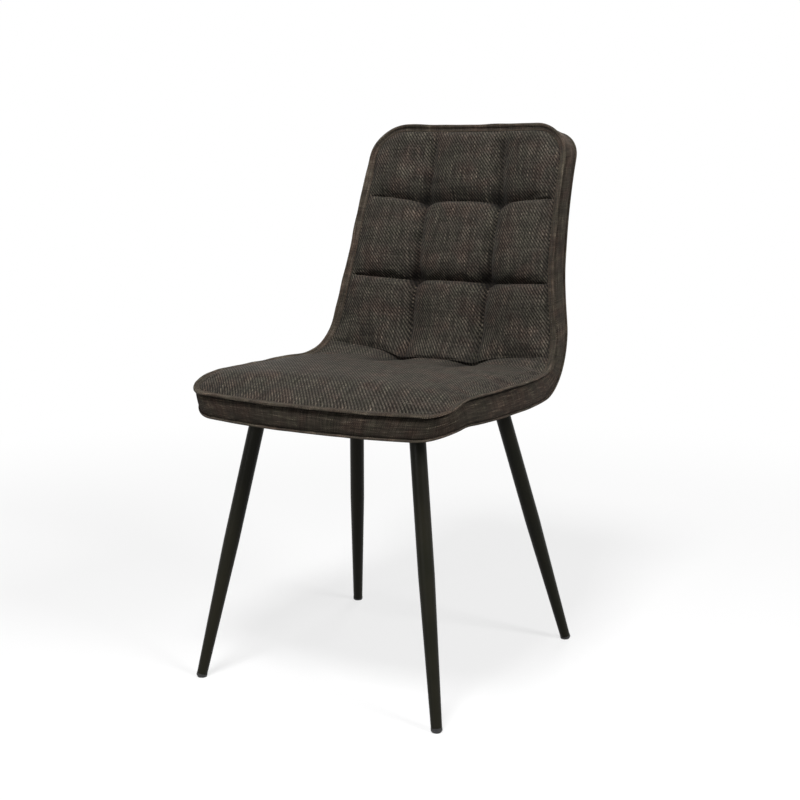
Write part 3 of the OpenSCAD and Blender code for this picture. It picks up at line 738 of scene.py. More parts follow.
    def half_at(self, s: Array, inset: float, radii: tuple[float, float] | None = None) -> Array:
        """Half the width at s of an outline with rounded corners.

        Args:
            s: distance along the side profile.
            inset: how far the outline is set in.
            radii: radii of the front and top corners, or None for those of the face.

        Returns:
            Half the width at each s.
        """
        half = self.half_w(s) - inset
        for r, top in zip(radii or (self.face_front_r, self.face_top_r), (False, True)):
            x, at = self.corner(r, top)
            bend = x + np.sqrt(np.maximum(0.0, (r - inset) ** 2 - (s - at) ** 2))
            half = np.where(s > at if top else s < at, bend, half)
        return half

    def column_x(self, s: Array) -> Array:
        """Half the distance between the two upright seams at s."""
        low, _, upper = self.seams
        return np.interp(s, (low, upper, self.length - self.stitch_inset),
                         (self.column_w_low, self.column_w_upper, self.column_w_top)) / 2

    def across(self, x: Array, s: Array) -> Array:
        """Share of the way across the cell that holds x, out to the stitching under the welt.

        Args:
            x: place across the sheet.
            s: place along the sheet.

        Returns:
            Shares from 0 to 1.
        """
        column = self.column_x(s)
        beside = share_of(np.abs(x), column, self.half_at(s, self.stitch_inset))
        return np.where(np.abs(x) < column, (x + column) / (2 * column), beside)

    def seam_shift(self, x: Array, s: Array) -> Array:
        """How far along the sheet the quilting is drawn from its straight lines.

        Args:
            x, s: place on the sheet.

        Returns:
            Shift of s. It changes evenly between two seams and fades out in front of the lowest one.
        """
        low, middle, high = self.seams
        across = self.across(x, s)
        centre, dimple = puff(across, 0.6), (1 - across) ** 1.5
        at_low, at_middle, at_high = (
            np.where(np.abs(x) < self.column_x(s), -sag - (pull - sag) * (1 - centre),
                     rise * puff(across, 1.0) - pull * dimple)
            for pull, sag, rise in ((self.low_pull, self.low_sag, self.low_rise),
                                    (self.middle_pull, 0.0, 0.0),
                                    (self.upper_pull, 0.0, self.upper_rise)))
        return np.select(
            [s < low, s < middle, s < high],
            [at_low * ease((s - low + 150.0) / 150.0),
             at_low + (at_middle - at_low) * share_of(s, low, middle),
             at_middle + (at_high - at_middle) * share_of(s, middle, high)],
            at_high * (1 - share_of(s, high, self.length - self.stitch_inset)))

    def rim_distance(self, x: Array, s: Array) -> Array:
        """Distance of a point of the sheet inside the face outline.

        Args:
            x: place across the sheet.
            s: place along the sheet.

        Returns:
            Distances in millimetres, below 0 outside.
        """
        distance = np.minimum(np.minimum(s, self.length - s), self.half_w(s) - np.abs(x))
        for r, top in ((self.face_front_r, False), (self.face_top_r, True)):
            centre_x, centre_s = self.corner(r, top)
            off_x, off_s = np.abs(x) - centre_x, s - centre_s if top else centre_s - s
            distance = np.where((off_x > 0) & (off_s > 0), r - np.hypot(off_x, off_s), distance)
        return distance

    def _wrap(self, s: Array) -> Array:
        """Depth of the hollow that the back wraps round the sitter."""
        return (self.wrap_depth * ease((s - self.bend_start) / (0.75 * self.bend_len))
                + (self.top_wrap_depth - self.wrap_depth) * ease((s - self.head_start) / self.head_len))

    def _extra(self, x: Array, s: Array) -> Array:
        """Extra depth behind the face: more at the small of the back, less at the front.

        Args:
            x: place across the sheet.
            s: place along the sheet.

        Returns:
            Depths in millimetres.
        """
        beside = 1 - ease(s / (2.1 * self.roll_len))
        above = ease((s - self.bend_end) / (self.length - self.bend_end))
        return (self.lumbar_extra * ease((s - self.bend_start - 20.0) / self.bend_len)
                + (self.top_extra - self.lumbar_extra) * above
                - self.front_lift * (1 - ease(s / self.roll_len))
                - self.side_lift * beside * (x / self.half_w(s)) ** 8)

    def _unshifted(self, x: Array, s: Array, n: Array) -> Array:
        """Points of the sheet before the chair is centred.

        Args:
            x: place across the sheet.
            s: place along the sheet.
            n: height over the sheet.

        Returns:
            Points in millimetres.
        """
        y, z, angle = self.profile(s)
        lean = np.where(s < self.roll_len, angle * self.roll_lean, angle)
        share = (x / self.half_w(s)) ** 2
        depth = n - self._extra(x, s) * np.clip(-n / self.pad_depth, 0, 1) - self._wrap(s) * (1 - share)
        bow = self.front_bow * share * (1 - ease(s / 150.0))
        return points_of(x, y + bow - np.sin(lean) * depth, z + np.cos(lean) * depth)

    def point(self, x: Array, s: Array, n: Array | float) -> Array:
        """Points of the bent sheet in the chair's own frame.

        Args:
            x: distance across the chair.
            s: distance along the side profile.
            n: height over the seam line, towards the sitter.

        Returns:
            Points in millimetres.
        """
        x, s, n = np.broadcast_arrays(np.asarray(x, float), np.asarray(s, float), np.asarray(n, float))
        flat = self._unshifted(x.ravel(), s.ravel(), n.ravel()) - np.array([0.0, self.middle_y, 0.0])
        return flat.reshape(*x.shape, 3)

    def _arc(self, inset: float, top: bool, degrees: Array) -> Array:
        """Points (x, s) round the right corner of the face, by their angle from the side.

        Args:
            inset: distance inside the outline.
            top: True at the top of the back, False at the front.
            degrees: angles from the side.

        Returns:
            (n, 2) points.
        """
        r = self.face_top_r if top else self.face_front_r
        x, s = self.corner(r, top)
        turn = np.radians(degrees)
        out = (r - inset) * (1 if top else -1) * np.sin(turn)
        return points_of(x + (r - inset) * np.cos(turn), s + out)

    def side_edge(self, at: float, inset: float, top: bool) -> Array:
        """Right edge as (x, s), between s = at and the middle of a corner, the front end first.

        Args:
            at: s of the end on the straight side.
            inset: distance inside the outline.
            top: True at the top of the back, False at the front.

        Returns:
            (n, 2) points.
        """
        turn = np.linspace(0.0, 45.0, 16)[1:]
        ends = (at, self.length - self.face_top_r) if top else (self.face_front_r, at)
        s = np.linspace(*ends, 60)
        side = points_of(self.half_at(s, inset), s)
        arc = self._arc(inset, top, turn if top else turn[::-1])
        return np.concatenate([side, arc] if top else [arc, side])

    def end_edge(self, start_x: float, inset: float, top: bool) -> Array:
        """Top or front edge as (x, s), from x = start_x to the middle of the right corner."""
        s = self.length - inset if top else inset
        return np.concatenate([[[start_x, s]], self._arc(inset, top, np.linspace(90.0, 45.0, 16))])

    def rim(self, front_r: float, top_r: float, step: float = 5.0) -> Array:
        """The whole outline as (x, s), once round from the middle of the front edge.

        Args:
            front_r, top_r: corner radii.
            step: rough distance between points.

        Returns:
            (n, 2) points. Every pair of radii gives the same n, so that two rims can be blended.
        """
        (front_half, _), (top_half, top_s) = self.corner(front_r, False), self.corner(top_r, True)
        fronts, sides = round(195.0 / step), round(800.0 / step)
        front_turns, top_turns, tops = round(66.0 / step), round(100.0 / step), round(125.0 / step)
        a = np.linspace(0.0, np.pi / 2, front_turns + 1)[:-1]
        b = np.linspace(0.0, np.pi / 2, top_turns + 1)[:-1]
        s = np.linspace(front_r, top_s, sides + 1)[:-1]
        half = np.concatenate([
            points_of(np.linspace(0.0, front_half, fronts + 1)[:-1], 0.0),
            points_of(front_half + front_r * np.sin(a), front_r - front_r * np.cos(a)),
            points_of(self.half_w(s), s),
            points_of(top_half + top_r * np.cos(b), top_s + top_r * np.sin(b)),
            points_of(np.linspace(top_half, 0.0, tops + 1), self.length),
        ])
        mirrored = half[-2:0:-1] * np.array([-1.0, 1.0])
        return np.concatenate([half, mirrored])


def outward(rim: Array) -> Array:
    """Unit directions out of a closed outline of (x, s) points."""
    t = np.roll(rim, -1, axis=0) - np.roll(rim, 1, axis=0)
    return points_of(t[:, 1], -t[:, 0]) / np.linalg.norm(t, axis=1)[:, None]


# ---- Soft pieces ----


@dataclass(frozen=True)
class Filling:
    """How hard a pad is stuffed and how far its cover may give, for the cloth simulation."""

    slack: float
    cap_mm: float
    pressure: float = 4.0
    frames: int = 20

    def swell(self, name: str, cover: Array, faces: Array, held: Array) -> Array:
        """Lets the cover of a pad swell between its seams.

        Args:
            name: what the trial piece is called.
            cover: (n, 3) points of the open cover, in millimetres.
            faces: its faces.
            held: indices of the points that the stitching holds.

        Returns:
            The cover's points after the simulation, none moved by more than the cap.
        """
        piece = placed(name, mesh_of(name, cover, faces))
        start = vertices_of(piece.data)
        sewn = piece.vertex_groups.new(name="sewn")
        sewn.add(held.tolist(), 1.0, "REPLACE")
        cloth = piece.modifiers.new("Cloth", "CLOTH")
        rules = {"quality": 6, "mass": 0.15, "tension_stiffness": 12.0, "compression_stiffness": 12.0,
                 "shear_stiffness": 6.0, "bending_stiffness": 1.0, "air_damping": 2.0,
                 "vertex_group_mass": sewn.name, "pin_stiffness": 1.0, "shrink_min": -self.slack,
                 "use_pressure": True, "uniform_pressure_force": self.pressure}
        for rule, value in rules.items():
            setattr(cloth.settings, rule, value)
        cloth.settings.effector_weights.gravity = 0.0
        scene = bpy.context.scene
        for owner in (cloth.point_cache, scene):
            owner.frame_start, owner.frame_end = 1, self.frames
        for number in range(1, self.frames + 1):
            scene.frame_set(number)
        shaped = piece.evaluated_get(bpy.context.evaluated_depsgraph_get())
        move = vertices_of(shaped.data) - start
        bpy.data.meshes.remove(piece.data)
        scene.frame_set(1)
        far = np.linalg.norm(move, axis=1)
        LOG.info("%s: swelled by up to %.1f mm", name, far.max() / MM)
        cap = self.cap_mm * MM
        move *= (cap * np.tanh(far / cap) / np.maximum(far, 1e-12))[:, None]
        return (start + move).astype(float) / MM


class Cushion:
    """A sewn pad of the sheet: a simulated cover over a plain, closed body."""

    name: str
    node: str
    slot = "face_fabric"
    side_gap = 0.4

    def __init__(self, sheet: BentSheet, filling: Filling) -> None:
        """Keeps the sheet and the filling, and where the stitching under the welt runs.

        Args:
            sheet: the bent sheet that it lies on.
            filling: what swells the cover.
        """
        self.sheet = sheet
        self.filling = filling
        self.stitch_inset = sheet.stitch_inset
        self.under_welt = -sheet.welt_t / 2 - sheet.layer_gap

    def layout(self, inset: float) -> tuple[Array, Array]:
        """Grid of (x, s) points whose outer edge is set in by inset, and the sewn points' indices."""
        raise NotImplementedError

    def top(self, x: Array, s: Array) -> Array:
        """Height of the cover over the sheet before it swells."""
        raise NotImplementedError

    def pits(self, x: Array, s: Array) -> Array:
        """Depth by which the tufts draw the swollen cover in."""
        raise NotImplementedError

    def inside(self, x: Array, s: Array) -> Array:
        """Distance inside the stitching under the welt."""
        return np.maximum(0.0, self.sheet.rim_distance(x, s) - self.stitch_inset)

    def build(self) -> Piece:
        """Builds the closed pad: the cover, its edge under the welt, its sides and its base."""
        grid, sewn = self.layout(self.stitch_inset)
        rows, cols = grid.shape[:2]
        x, s = grid[..., 0].ravel(), grid[..., 1].ravel()
        height, pits = self.top(x, s), self.pits(x, s)
        s = s + self.sheet.seam_shift(x, s)
        cover = self.sheet.point(x, s, height)
        drawn_in = self.sheet.point(x, s, height - pits) - cover
        cover = self.filling.swell(self.name + "_cover", cover, grid_faces(rows, cols), sewn)
        cover = cover + drawn_in
        border = border_of(rows, cols)
        wide = self.layout(self.sheet.inner_inset + self.side_gap)[0].reshape(-1, 2)[border]
        wide[:, 1] += self.sheet.seam_shift(wide[:, 0], wide[:, 1])
        bottom = self.sheet.layer_gap - self.sheet.pad_depth
        lip = self.sheet.point(wide[:, 0], wide[:, 1], self.under_welt)
        foot = self.sheet.point(wide[:, 0], wide[:, 1], bottom)
        base = self.sheet.point(x, s, bottom)
        count, ring = rows * cols, len(border)
        lip_no = count + np.arange(ring)
        foot_no = lip_no + ring
        faces = np.concatenate([
            grid_faces(rows, cols),
            loop_faces(lip_no, border),
            loop_faces(foot_no, lip_no),
            loop_faces(border + count + 2 * ring, foot_no),
            grid_faces(rows, cols, start=count + 2 * ring, flip=True),
        ])
        # The third coordinate of the cloth's place is the tufts' depth, which the cloth's material darkens as
        # painted shade.
        cloth = points_of(x, s, pits)
        edge = points_of(*wide.T, 0.0)
        weave = np.concatenate([cloth, edge, edge * np.array([1.02, 1.0, 1.0]), cloth])
        points = np.concatenate([cover, lip, foot, base])
        piece = new_piece(self.name, self.node, points, faces, weave, levels=1)
        crease(piece, sewn)
        return piece


class BackCushion(Cushion):
    """The quilted back: three rows of three pillows, drawn in at each crossing of the seams."""

    name = "back_cushion"
    node = "back_pad"
    steps = 34
    step_pull = 0.115
    crown = 12.0
    seam_sink = 2.2
    column_sink = 4.5
    seam_cut = 1.7
    seam_soft = 1.7
    cut_start = 8.0
    cut_end_depth = 14.0
    wide_pits = ((4.0, 20.0), (5.5, 28.0), (5.5, 28.0))
    deep_pits = ((6.0, 8.0), (9.0, 12.0), (9.0, 12.0))
    pit_rise = 1.4
    pit_fall = 0.5
    low_reach = 40.0
    high_reach = 18.0
    fade_len = 45.0

    def layout(self, inset: float) -> tuple[Array, Array]:
        """Nine blocks of the grid, whose edges lie along the seams.

        Args:
            inset: distance inside the outline.

        Returns:
            The grid, and the sewn points' indices.
        """
        sheet, t = self.sheet, gathered(self.steps, self.step_pull)
        low, middle, high = sheet.seams
        low += sheet.layer_gap / 2
        levels = (low, middle, high, sheet.length - inset)
        rows = []
        for i in range(3):
            s = levels[i] + (levels[i + 1] - levels[i]) * t
            seam = points_of(sheet.column_x(s), s)
            centre = points_of(seam[:, 0, None] * (2 * t - 1), s[:, None])
            side = points_of(sheet.half_at(s, inset), s)
            start = np.stack([seam[0], side[0]])
            if i < 2:
                end, edge = np.stack([seam[-1], side[-1]]), side
            else:
                end = sheet.end_edge(float(seam[-1, 0]), inset, True)
                edge = along(sheet.side_edge(s[0], inset, True), t)
            right = coons(seam, edge, along(start, t), along(end, t), t, t)
            rows.append(three_columns(centre, right)[(1 if i else 0):])
        grid = np.concatenate(rows)
        index = np.arange(grid.shape[0] * grid.shape[1]).reshape(grid.shape[:2])
        k = self.steps
        sewn = [border_of(*grid.shape[:2]), index[k], index[2 * k], index[:, k], index[:, 2 * k]]
        return grid, np.unique(np.concatenate(sewn))

    def top(self, x: Array, s: Array) -> Array:
        """Pillows between the seams, each drooping long over its lower seam and short at its upper.

        Args:
            x: place across the sheet.
            s: place along the sheet.

        Returns:
            Heights in millimetres.
        """
        sheet = self.sheet
        low, middle, high = sheet.seams
        start = np.where(s < middle, low, np.where(s < high, middle, high))
        end = np.where(s < middle, middle, np.where(s < high, high, sheet.length - self.stitch_inset))
        over = puff(sheet.across(x, s), 0.75)
        up = rolled(s - start, self.low_reach, 0.8) * rolled(end - s, self.high_reach)
        inside = self.inside(x, s)
        fade = ease(inside / self.fade_len)
        sink = self.under_welt + (-self.seam_sink - self.under_welt) * fade
        column = self.under_welt + (-self.column_sink - self.under_welt) * fade
        off_column = np.abs(np.abs(x) - sheet.column_x(s))
        nearest = np.minimum(off_column, np.min([np.abs(s - row) for row in sheet.seams], axis=0))
        furrow = (self.seam_cut * np.exp(-(nearest / self.seam_soft) ** 2)
                  * ease(inside / self.cut_start))
        return (sink * (1 - up) + (column * (1 - over) + self.crown * over) * up
                - furrow * (1 - share_of(self.pits(x, s), 0.0, self.cut_end_depth)))

    def pits(self, x: Array, s: Array) -> Array:
        """A wide funnel with a deep middle at each crossing, long above the seam and short below it.

        Args:
            x: place across the sheet.
            s: place along the sheet.

        Returns:
            Depths in millimetres.
        """
        sheet = self.sheet
        off = np.abs(np.abs(x) - sheet.column_x(s))
        fade = ease(self.inside(x, s) / self.fade_len)
        return fade * sum(
            depth * np.exp(-((off / spread) ** 2 + ((s - row) / np.where(
                s > row, self.pit_rise * spread, self.pit_fall * spread)) ** 2))
            for pits in (self.wide_pits, self.deep_pits)
            for row, (depth, spread) in zip(sheet.seams, pits))


class SeatCushion(Cushion):
    """The plain seat, which rises from the front welt and falls to a crease at the shared seam."""

    name = "seat_cushion"
    node = "seat_pad"
    steps = 40
    rows = 110
    step_pull = 0.05
    row_pull = 0.06
    crown = 11.0
    seam_sink = 5.0
    tuft_depth = 9.0
    tuft_spread = 19.0
    dimple_reach = 60.0
    rise_share = 0.3
    fall = 0.75
    fade_len = 45.0

    def layout(self, inset: float) -> tuple[Array, Array]:
        """Three blocks of the grid side by side, divided under the back's upright seams.

        Args:
            inset: distance inside the outline.

        Returns:
            The grid, and the sewn points' indices.
        """
        sheet, t = self.sheet, gathered(self.steps, self.step_pull)
        v = gathered(self.rows, self.row_pull)
        end = sheet.seams[0] - sheet.layer_gap / 2
        column = float(sheet.column_x(np.array(end)))
        s = inset + (end - inset) * v
        seam = points_of(column, s)
        centre = points_of(column * (2 * t - 1), s[:, None])
        back = np.array([[column, end], [float(sheet.half_at(np.array(end), inset)), end]])
        right = coons(seam, along(sheet.side_edge(end, inset, False), v),
                      along(sheet.end_edge(column, inset, False), t), along(back, t), t, v)
        grid = three_columns(centre, right)
        return grid, np.unique(border_of(*grid.shape[:2]))

    def top(self, x: Array, s: Array) -> Array:
        """One broad crown, high behind the front welt and low in front of the seam that it shares.

        Args:
            x: place across the sheet.
            s: place along the sheet.

        Returns:
            Heights in millimetres.
        """
        sheet = self.sheet
        low = sheet.seams[0]
        across = np.clip(np.abs(x) / sheet.half_at(s, self.stitch_inset), 0, 1)
        far = np.clip((s - self.stitch_inset) / (low - self.stitch_inset), 0, 1)
        rise = (1 - np.maximum(0.0, 1 - far / self.rise_share) ** 4) ** 0.6
        fall = 1 - self.fall * ease((far - self.rise_share) / (1 - self.rise_share))
        crease = (1 - far ** 16) ** 0.6
        fade = ease(self.inside(x, s) / self.fade_len) * ease((far - 0.6) / 0.4)
        sink = self.under_welt + (-self.seam_sink - self.under_welt) * fade
        return sink + (self.crown - sink) * (1 - across ** 4) ** 0.6 * rise * fall * crease

    def pits(self, x: Array, s: Array) -> Array:
        """A long dimple in front of each tuft of the shared seam.

        Args:
            x: place across the sheet.
            s: place along the sheet.

        Returns:
            Depths in millimetres.
        """
        sheet = self.sheet
        low = sheet.seams[0]
        dimple = np.exp(-(((np.abs(x) - sheet.column_x(low)) / self.tuft_spread) ** 2
                          + ((s - low) / self.dimple_reach) ** 2) / 2)
        return self.tuft_depth * dimple * (self.inside(x, s) > 0.0)


@dataclass(frozen=True)
class EdgeRing:
    """Cloth that runs right round the edge of the sheet: a welt, the band or the lower welt.

    The corners change from the face outline to the lower outline as the ring goes deeper. Joins are
    sewn across the ring at shares of its length, and waves are (count round the ring, shift, share).
    """

    name: str
    node: str
    section: tuple[tuple[float, float], ...]
    waves_mm: float = 0.0
    puckers_mm: float = 0.0
    step: float = 5.0
    joins: tuple[float, ...] = ()
    join_w: float = 0.9
    join_depth: float = 1.3
    waves: tuple[tuple[int, float, float], ...] = ((13, 0.7, 0.5), (29, 2.1, 0.3), (47, 4.0, 0.2))

    def points(self, sheet: BentSheet, section: Array) -> Array:
        """Points of the ring, one row for each place round the outline.

        Args:
            sheet: the bent sheet.
            section: (k, 2) distances outside the outline and heights, once round the cut.

        Returns:
            (rows, k, 3) points.
        """
        face = sheet.rim(sheet.face_front_r, sheet.face_top_r, self.step)
        low = sheet.rim(sheet.low_front_r, sheet.low_top_r, self.step)
        face_out, low_out = outward(face), outward(low)
        at = travelled(sheet.point(face[:, 0], face[:, 1], 0.0))
        whole = at[-1] + self.step
        # More points round each join, so that its furrow keeps its shape
        near = [join * whole + d for join in self.joins for d in (-2.6, -1.5, -0.7, 0.0, 0.7, 1.5, 2.6)]
        places = np.unique(np.concatenate([at, near]))
        face, low, face_out, low_out = (
            points_of(*(np.interp(places, at, part) for part in line.T))
            for line in (face, low, face_out, low_out))
        at = places
        dip = self.join_depth * sum((np.exp(-((at - join * whole) / self.join_w) ** 2)
                                     for join in self.joins), np.zeros_like(at))
        phase = 2 * np.pi * at / whole
        wave = self.waves_mm * sum(share * np.sin(count * phase + shift) for count, shift, share in self.waves)
        pucker = self.puckers_mm * (np.sin(173 * phase) * np.sin(11 * phase + 1.0)
                                    + 0.6 * np.sin(97 * phase + 0.4) * np.sin(17 * phase))
        # The waves die out towards the stitched inner edge
        loose = ease(share_of(section[:, 0], -8.0, -3.0))[None]
        out = section[None, :, 0] + 0.5 * wave[:, None] * loose + (pucker - dip)[:, None]
        n = section[None, :, 1] + wave[:, None] * loose
        share = share_of(-section[:, 1], 0.0, -sheet.ply_base)[None, :, None]
        flat = ((1 - share) * (face[:, None] + out[..., None] * face_out[:, None])
                + share * (low[:, None] + out[..., None] * low_out[:, None]))
        return sheet.point(flat[..., 0], flat[..., 1], n)

    def build(self, sheet: BentSheet) -> Piece:
        """Builds the closed ring and makes it stand for its solid.

        Args:
            sheet: the bent sheet that it lies on.

        Returns:
            The finished piece.
        """
        section = np.array(self.section, float)
        points = self.points(sheet, section)
        rows, cols = points.shape[:2]
        at = travelled(points[:, 0])
        around = travelled(section)
        weave = points_of(at[:, None], around).reshape(-1, 2)
        faces = grid_faces(rows, cols, ring=True, tube=True, flip=True)
        points = points.reshape(-1, 3)
        return new_piece(self.name, self.node, points, faces, weave, levels=1)


def rings(sheet: BentSheet) -> tuple[EdgeRing, EdgeRing, EdgeRing]:
    """The welt, the band and the lower welt, each with its section outside the outline.

    Args:
        sheet: the bent sheet that it lies on.

    Returns:
        The three rings, from the face down.
    """
    top, base = -sheet.welt_t / 2 - sheet.layer_gap, sheet.ply_base + 1.5
    lip = base - sheet.layer_gap
    shares = ((-8.0, 0.0), (-8.0, 0.06), (-7.2, 0.1), (-4.8, 0.13), (-3.2, 0.2), (-2.4, 0.34), (-2.0, 0.55),
              (-2.2, 0.78), (-2.9, 0.92), (-4.0, 1.0))
    face = [(x, top - share * (top - base)) for x, share in shares]
    band = tuple([(x - 1.6, n) for x, n in reversed(face)] + face)
    return (
        EdgeRing("welt", "face_welt", (
            (-12.4, -1.4), (-12.4, -1.9), (-9.0, -1.9), (-5.0, -1.6), (-2.0, -1.4), (-0.6, -1.0), (0.1, 0.0),
            (-0.4, 1.1), (-1.4, 1.9), (-3.0, 2.3), (-4.8, 2.0), (-6.0, 0.8), (-6.8, -1.2), (-9.8, -1.3)),
            waves_mm=1.0, step=4.0),
        EdgeRing("boxing_band", "side_band", band, puckers_mm=0.12, step=3.0, joins=(0.0945, 0.9055)),
        EdgeRing("lower_piping", "lower_welt", (
            (-8.2, lip), (-8.2, lip - 3.0), (-3.2, lip - 3.0), (-1.4, lip - 2.5), (-0.8, lip - 1.5),
            (-1.4, lip - 0.5), (-3.2, lip)), waves_mm=0.4),
    )


@dataclass(frozen=True)
class Layer:
    """A plain layer of the sheet: foam, the cloth outside the back or the cloth under the seat."""

    name: str
    node: str
    slot: str
    start: float
    end: float
    top: float
    base: float
    inset: float
    front_r: float
    top_r: float
    bulge: float = 0.0
    rows: int = 90
    cols: int = 60

    def build(self, sheet: BentSheet) -> Piece:
        """Builds the closed slab and makes it stand for its solid.

        Args:
            sheet: the bent sheet that it lies on.

        Returns:
            The finished piece.
        """
        s = self.start + (self.end - self.start) * gathered(self.rows, 0.1)
        half = sheet.half_at(s, self.inset, (self.front_r, self.top_r))
        share = 2 * gathered(self.cols, 0.08) - 1
        x = half[:, None] * share[None]
        s_grid = np.broadcast_to(s[:, None], x.shape)
        up = puff(share_of(s, self.start, self.end), 0.5)[:, None]
        lift = self.bulge * puff((share + 1) / 2, 0.5)[None] * up
        points = np.concatenate([sheet.point(x, s_grid, n - lift).reshape(-1, 3)
                                 for n in (self.top, self.base)])
        rows, cols = x.shape
        border = border_of(rows, cols)
        cloth = points_of(x, s_grid).reshape(-1, 2)
        faces = np.concatenate([
            grid_faces(rows, cols),
            grid_faces(rows, cols, start=rows * cols, flip=True),
            loop_faces(border + rows * cols, border),
        ])
        return new_piece(self.name, self.node, points, faces, np.concatenate([cloth, cloth]))


@dataclass(frozen=True)
class WeltStitching:
    """The row of lockstitches along the inner edge of the welt."""

    stitch_mm: float = 4.2
    gap_share: float = 0.28
    thread_mm: float = 0.55
    inset: float = 8.4
    n: float = -0.9

    def build(self, sheet: BentSheet) -> Piece:
        """Builds every stitch as a short bowed thread, all in one mesh.

        Args:
            sheet: the bent sheet that it lies on.

        Returns:
            The finished piece.
        """
        rim = sheet.rim(sheet.face_front_r, sheet.face_top_r, 2.0)
        line = rim - self.inset * outward(rim)
        line = np.concatenate([line, line[:1]])
        world = sheet.point(line[:, 0], line[:, 1], self.n)
        total = travelled(world)[-1]
        count = int(total / self.stitch_mm)
        turns, ends = 6, 5
        angle = 2 * np.pi * np.arange(turns) / turns
        t = np.linspace(0.0, 1.0 - self.gap_share, ends)
        shares = (np.arange(count)[:, None] + t[None]) / count
        centre = along(world, shares.ravel()).reshape(count, ends, 3)
        above = sheet.point(line[:, 0], line[:, 1], self.n + 1.0)
        up = along(above, shares.ravel()).reshape(count, ends, 3) - centre
        up /= np.linalg.norm(up, axis=-1, keepdims=True)
        ahead = centre[:, -1:] - centre[:, :1]
        ahead = ahead / np.linalg.norm(ahead, axis=-1, keepdims=True)
        side = np.cross(ahead, up)
        bow = np.sin(np.pi * np.linspace(0.0, 1.0, ends))
        thick = self.thread_mm / 2 * (0.55 + 0.45 * bow)
        centre = centre + up * (0.5 * bow - 0.35)[None, :, None]
        ring = (centre[:, :, None]
                + thick[None, :, None, None] * (np.cos(angle)[None, None, :, None] * side[:, :, None]
                                                + np.sin(angle)[None, None, :, None] * up[:, :, None]))
        size = ends * turns
        caps = (np.arange(turns)[::-1], np.arange(size - turns, size))
        one = [*grid_faces(ends, turns, tube=True), *caps]
        faces = [face + first for first in range(0, count * size, size) for face in one]
        return new_piece("welt_stitches", None, ring.reshape(-1, 3), faces)


# ---- Frame parts that keep their solids ----


def dress(nodes: Sequence[str], finish: Finish, smooth_deg: float = 35.0) -> None:
    """Gives CAD nodes their finish and shades edges smooth that turn by less than smooth_deg."""
    material = finish.material()
    for name in nodes:
        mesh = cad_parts[name].data
        mesh.materials.clear()
        mesh.materials.append(material)
        mesh.shade_smooth()
        mesh.set_sharp_from_angle(angle=math.radians(smooth_deg))
        LOG.info("%s: %s", name, material.name)


def clothe(piece: Piece, material: Material) -> Piece:
    """Gives a new piece its finish and reports it.

    Args:
        piece: the piece.
        material: its finish.

    Returns:
        The same piece.
    """
    piece.data.materials.append(material)
    LOG.info("%s: %d faces, %s", piece.name, len(piece.data.polygons), material.name)
    return piece


# ---- Studio ----


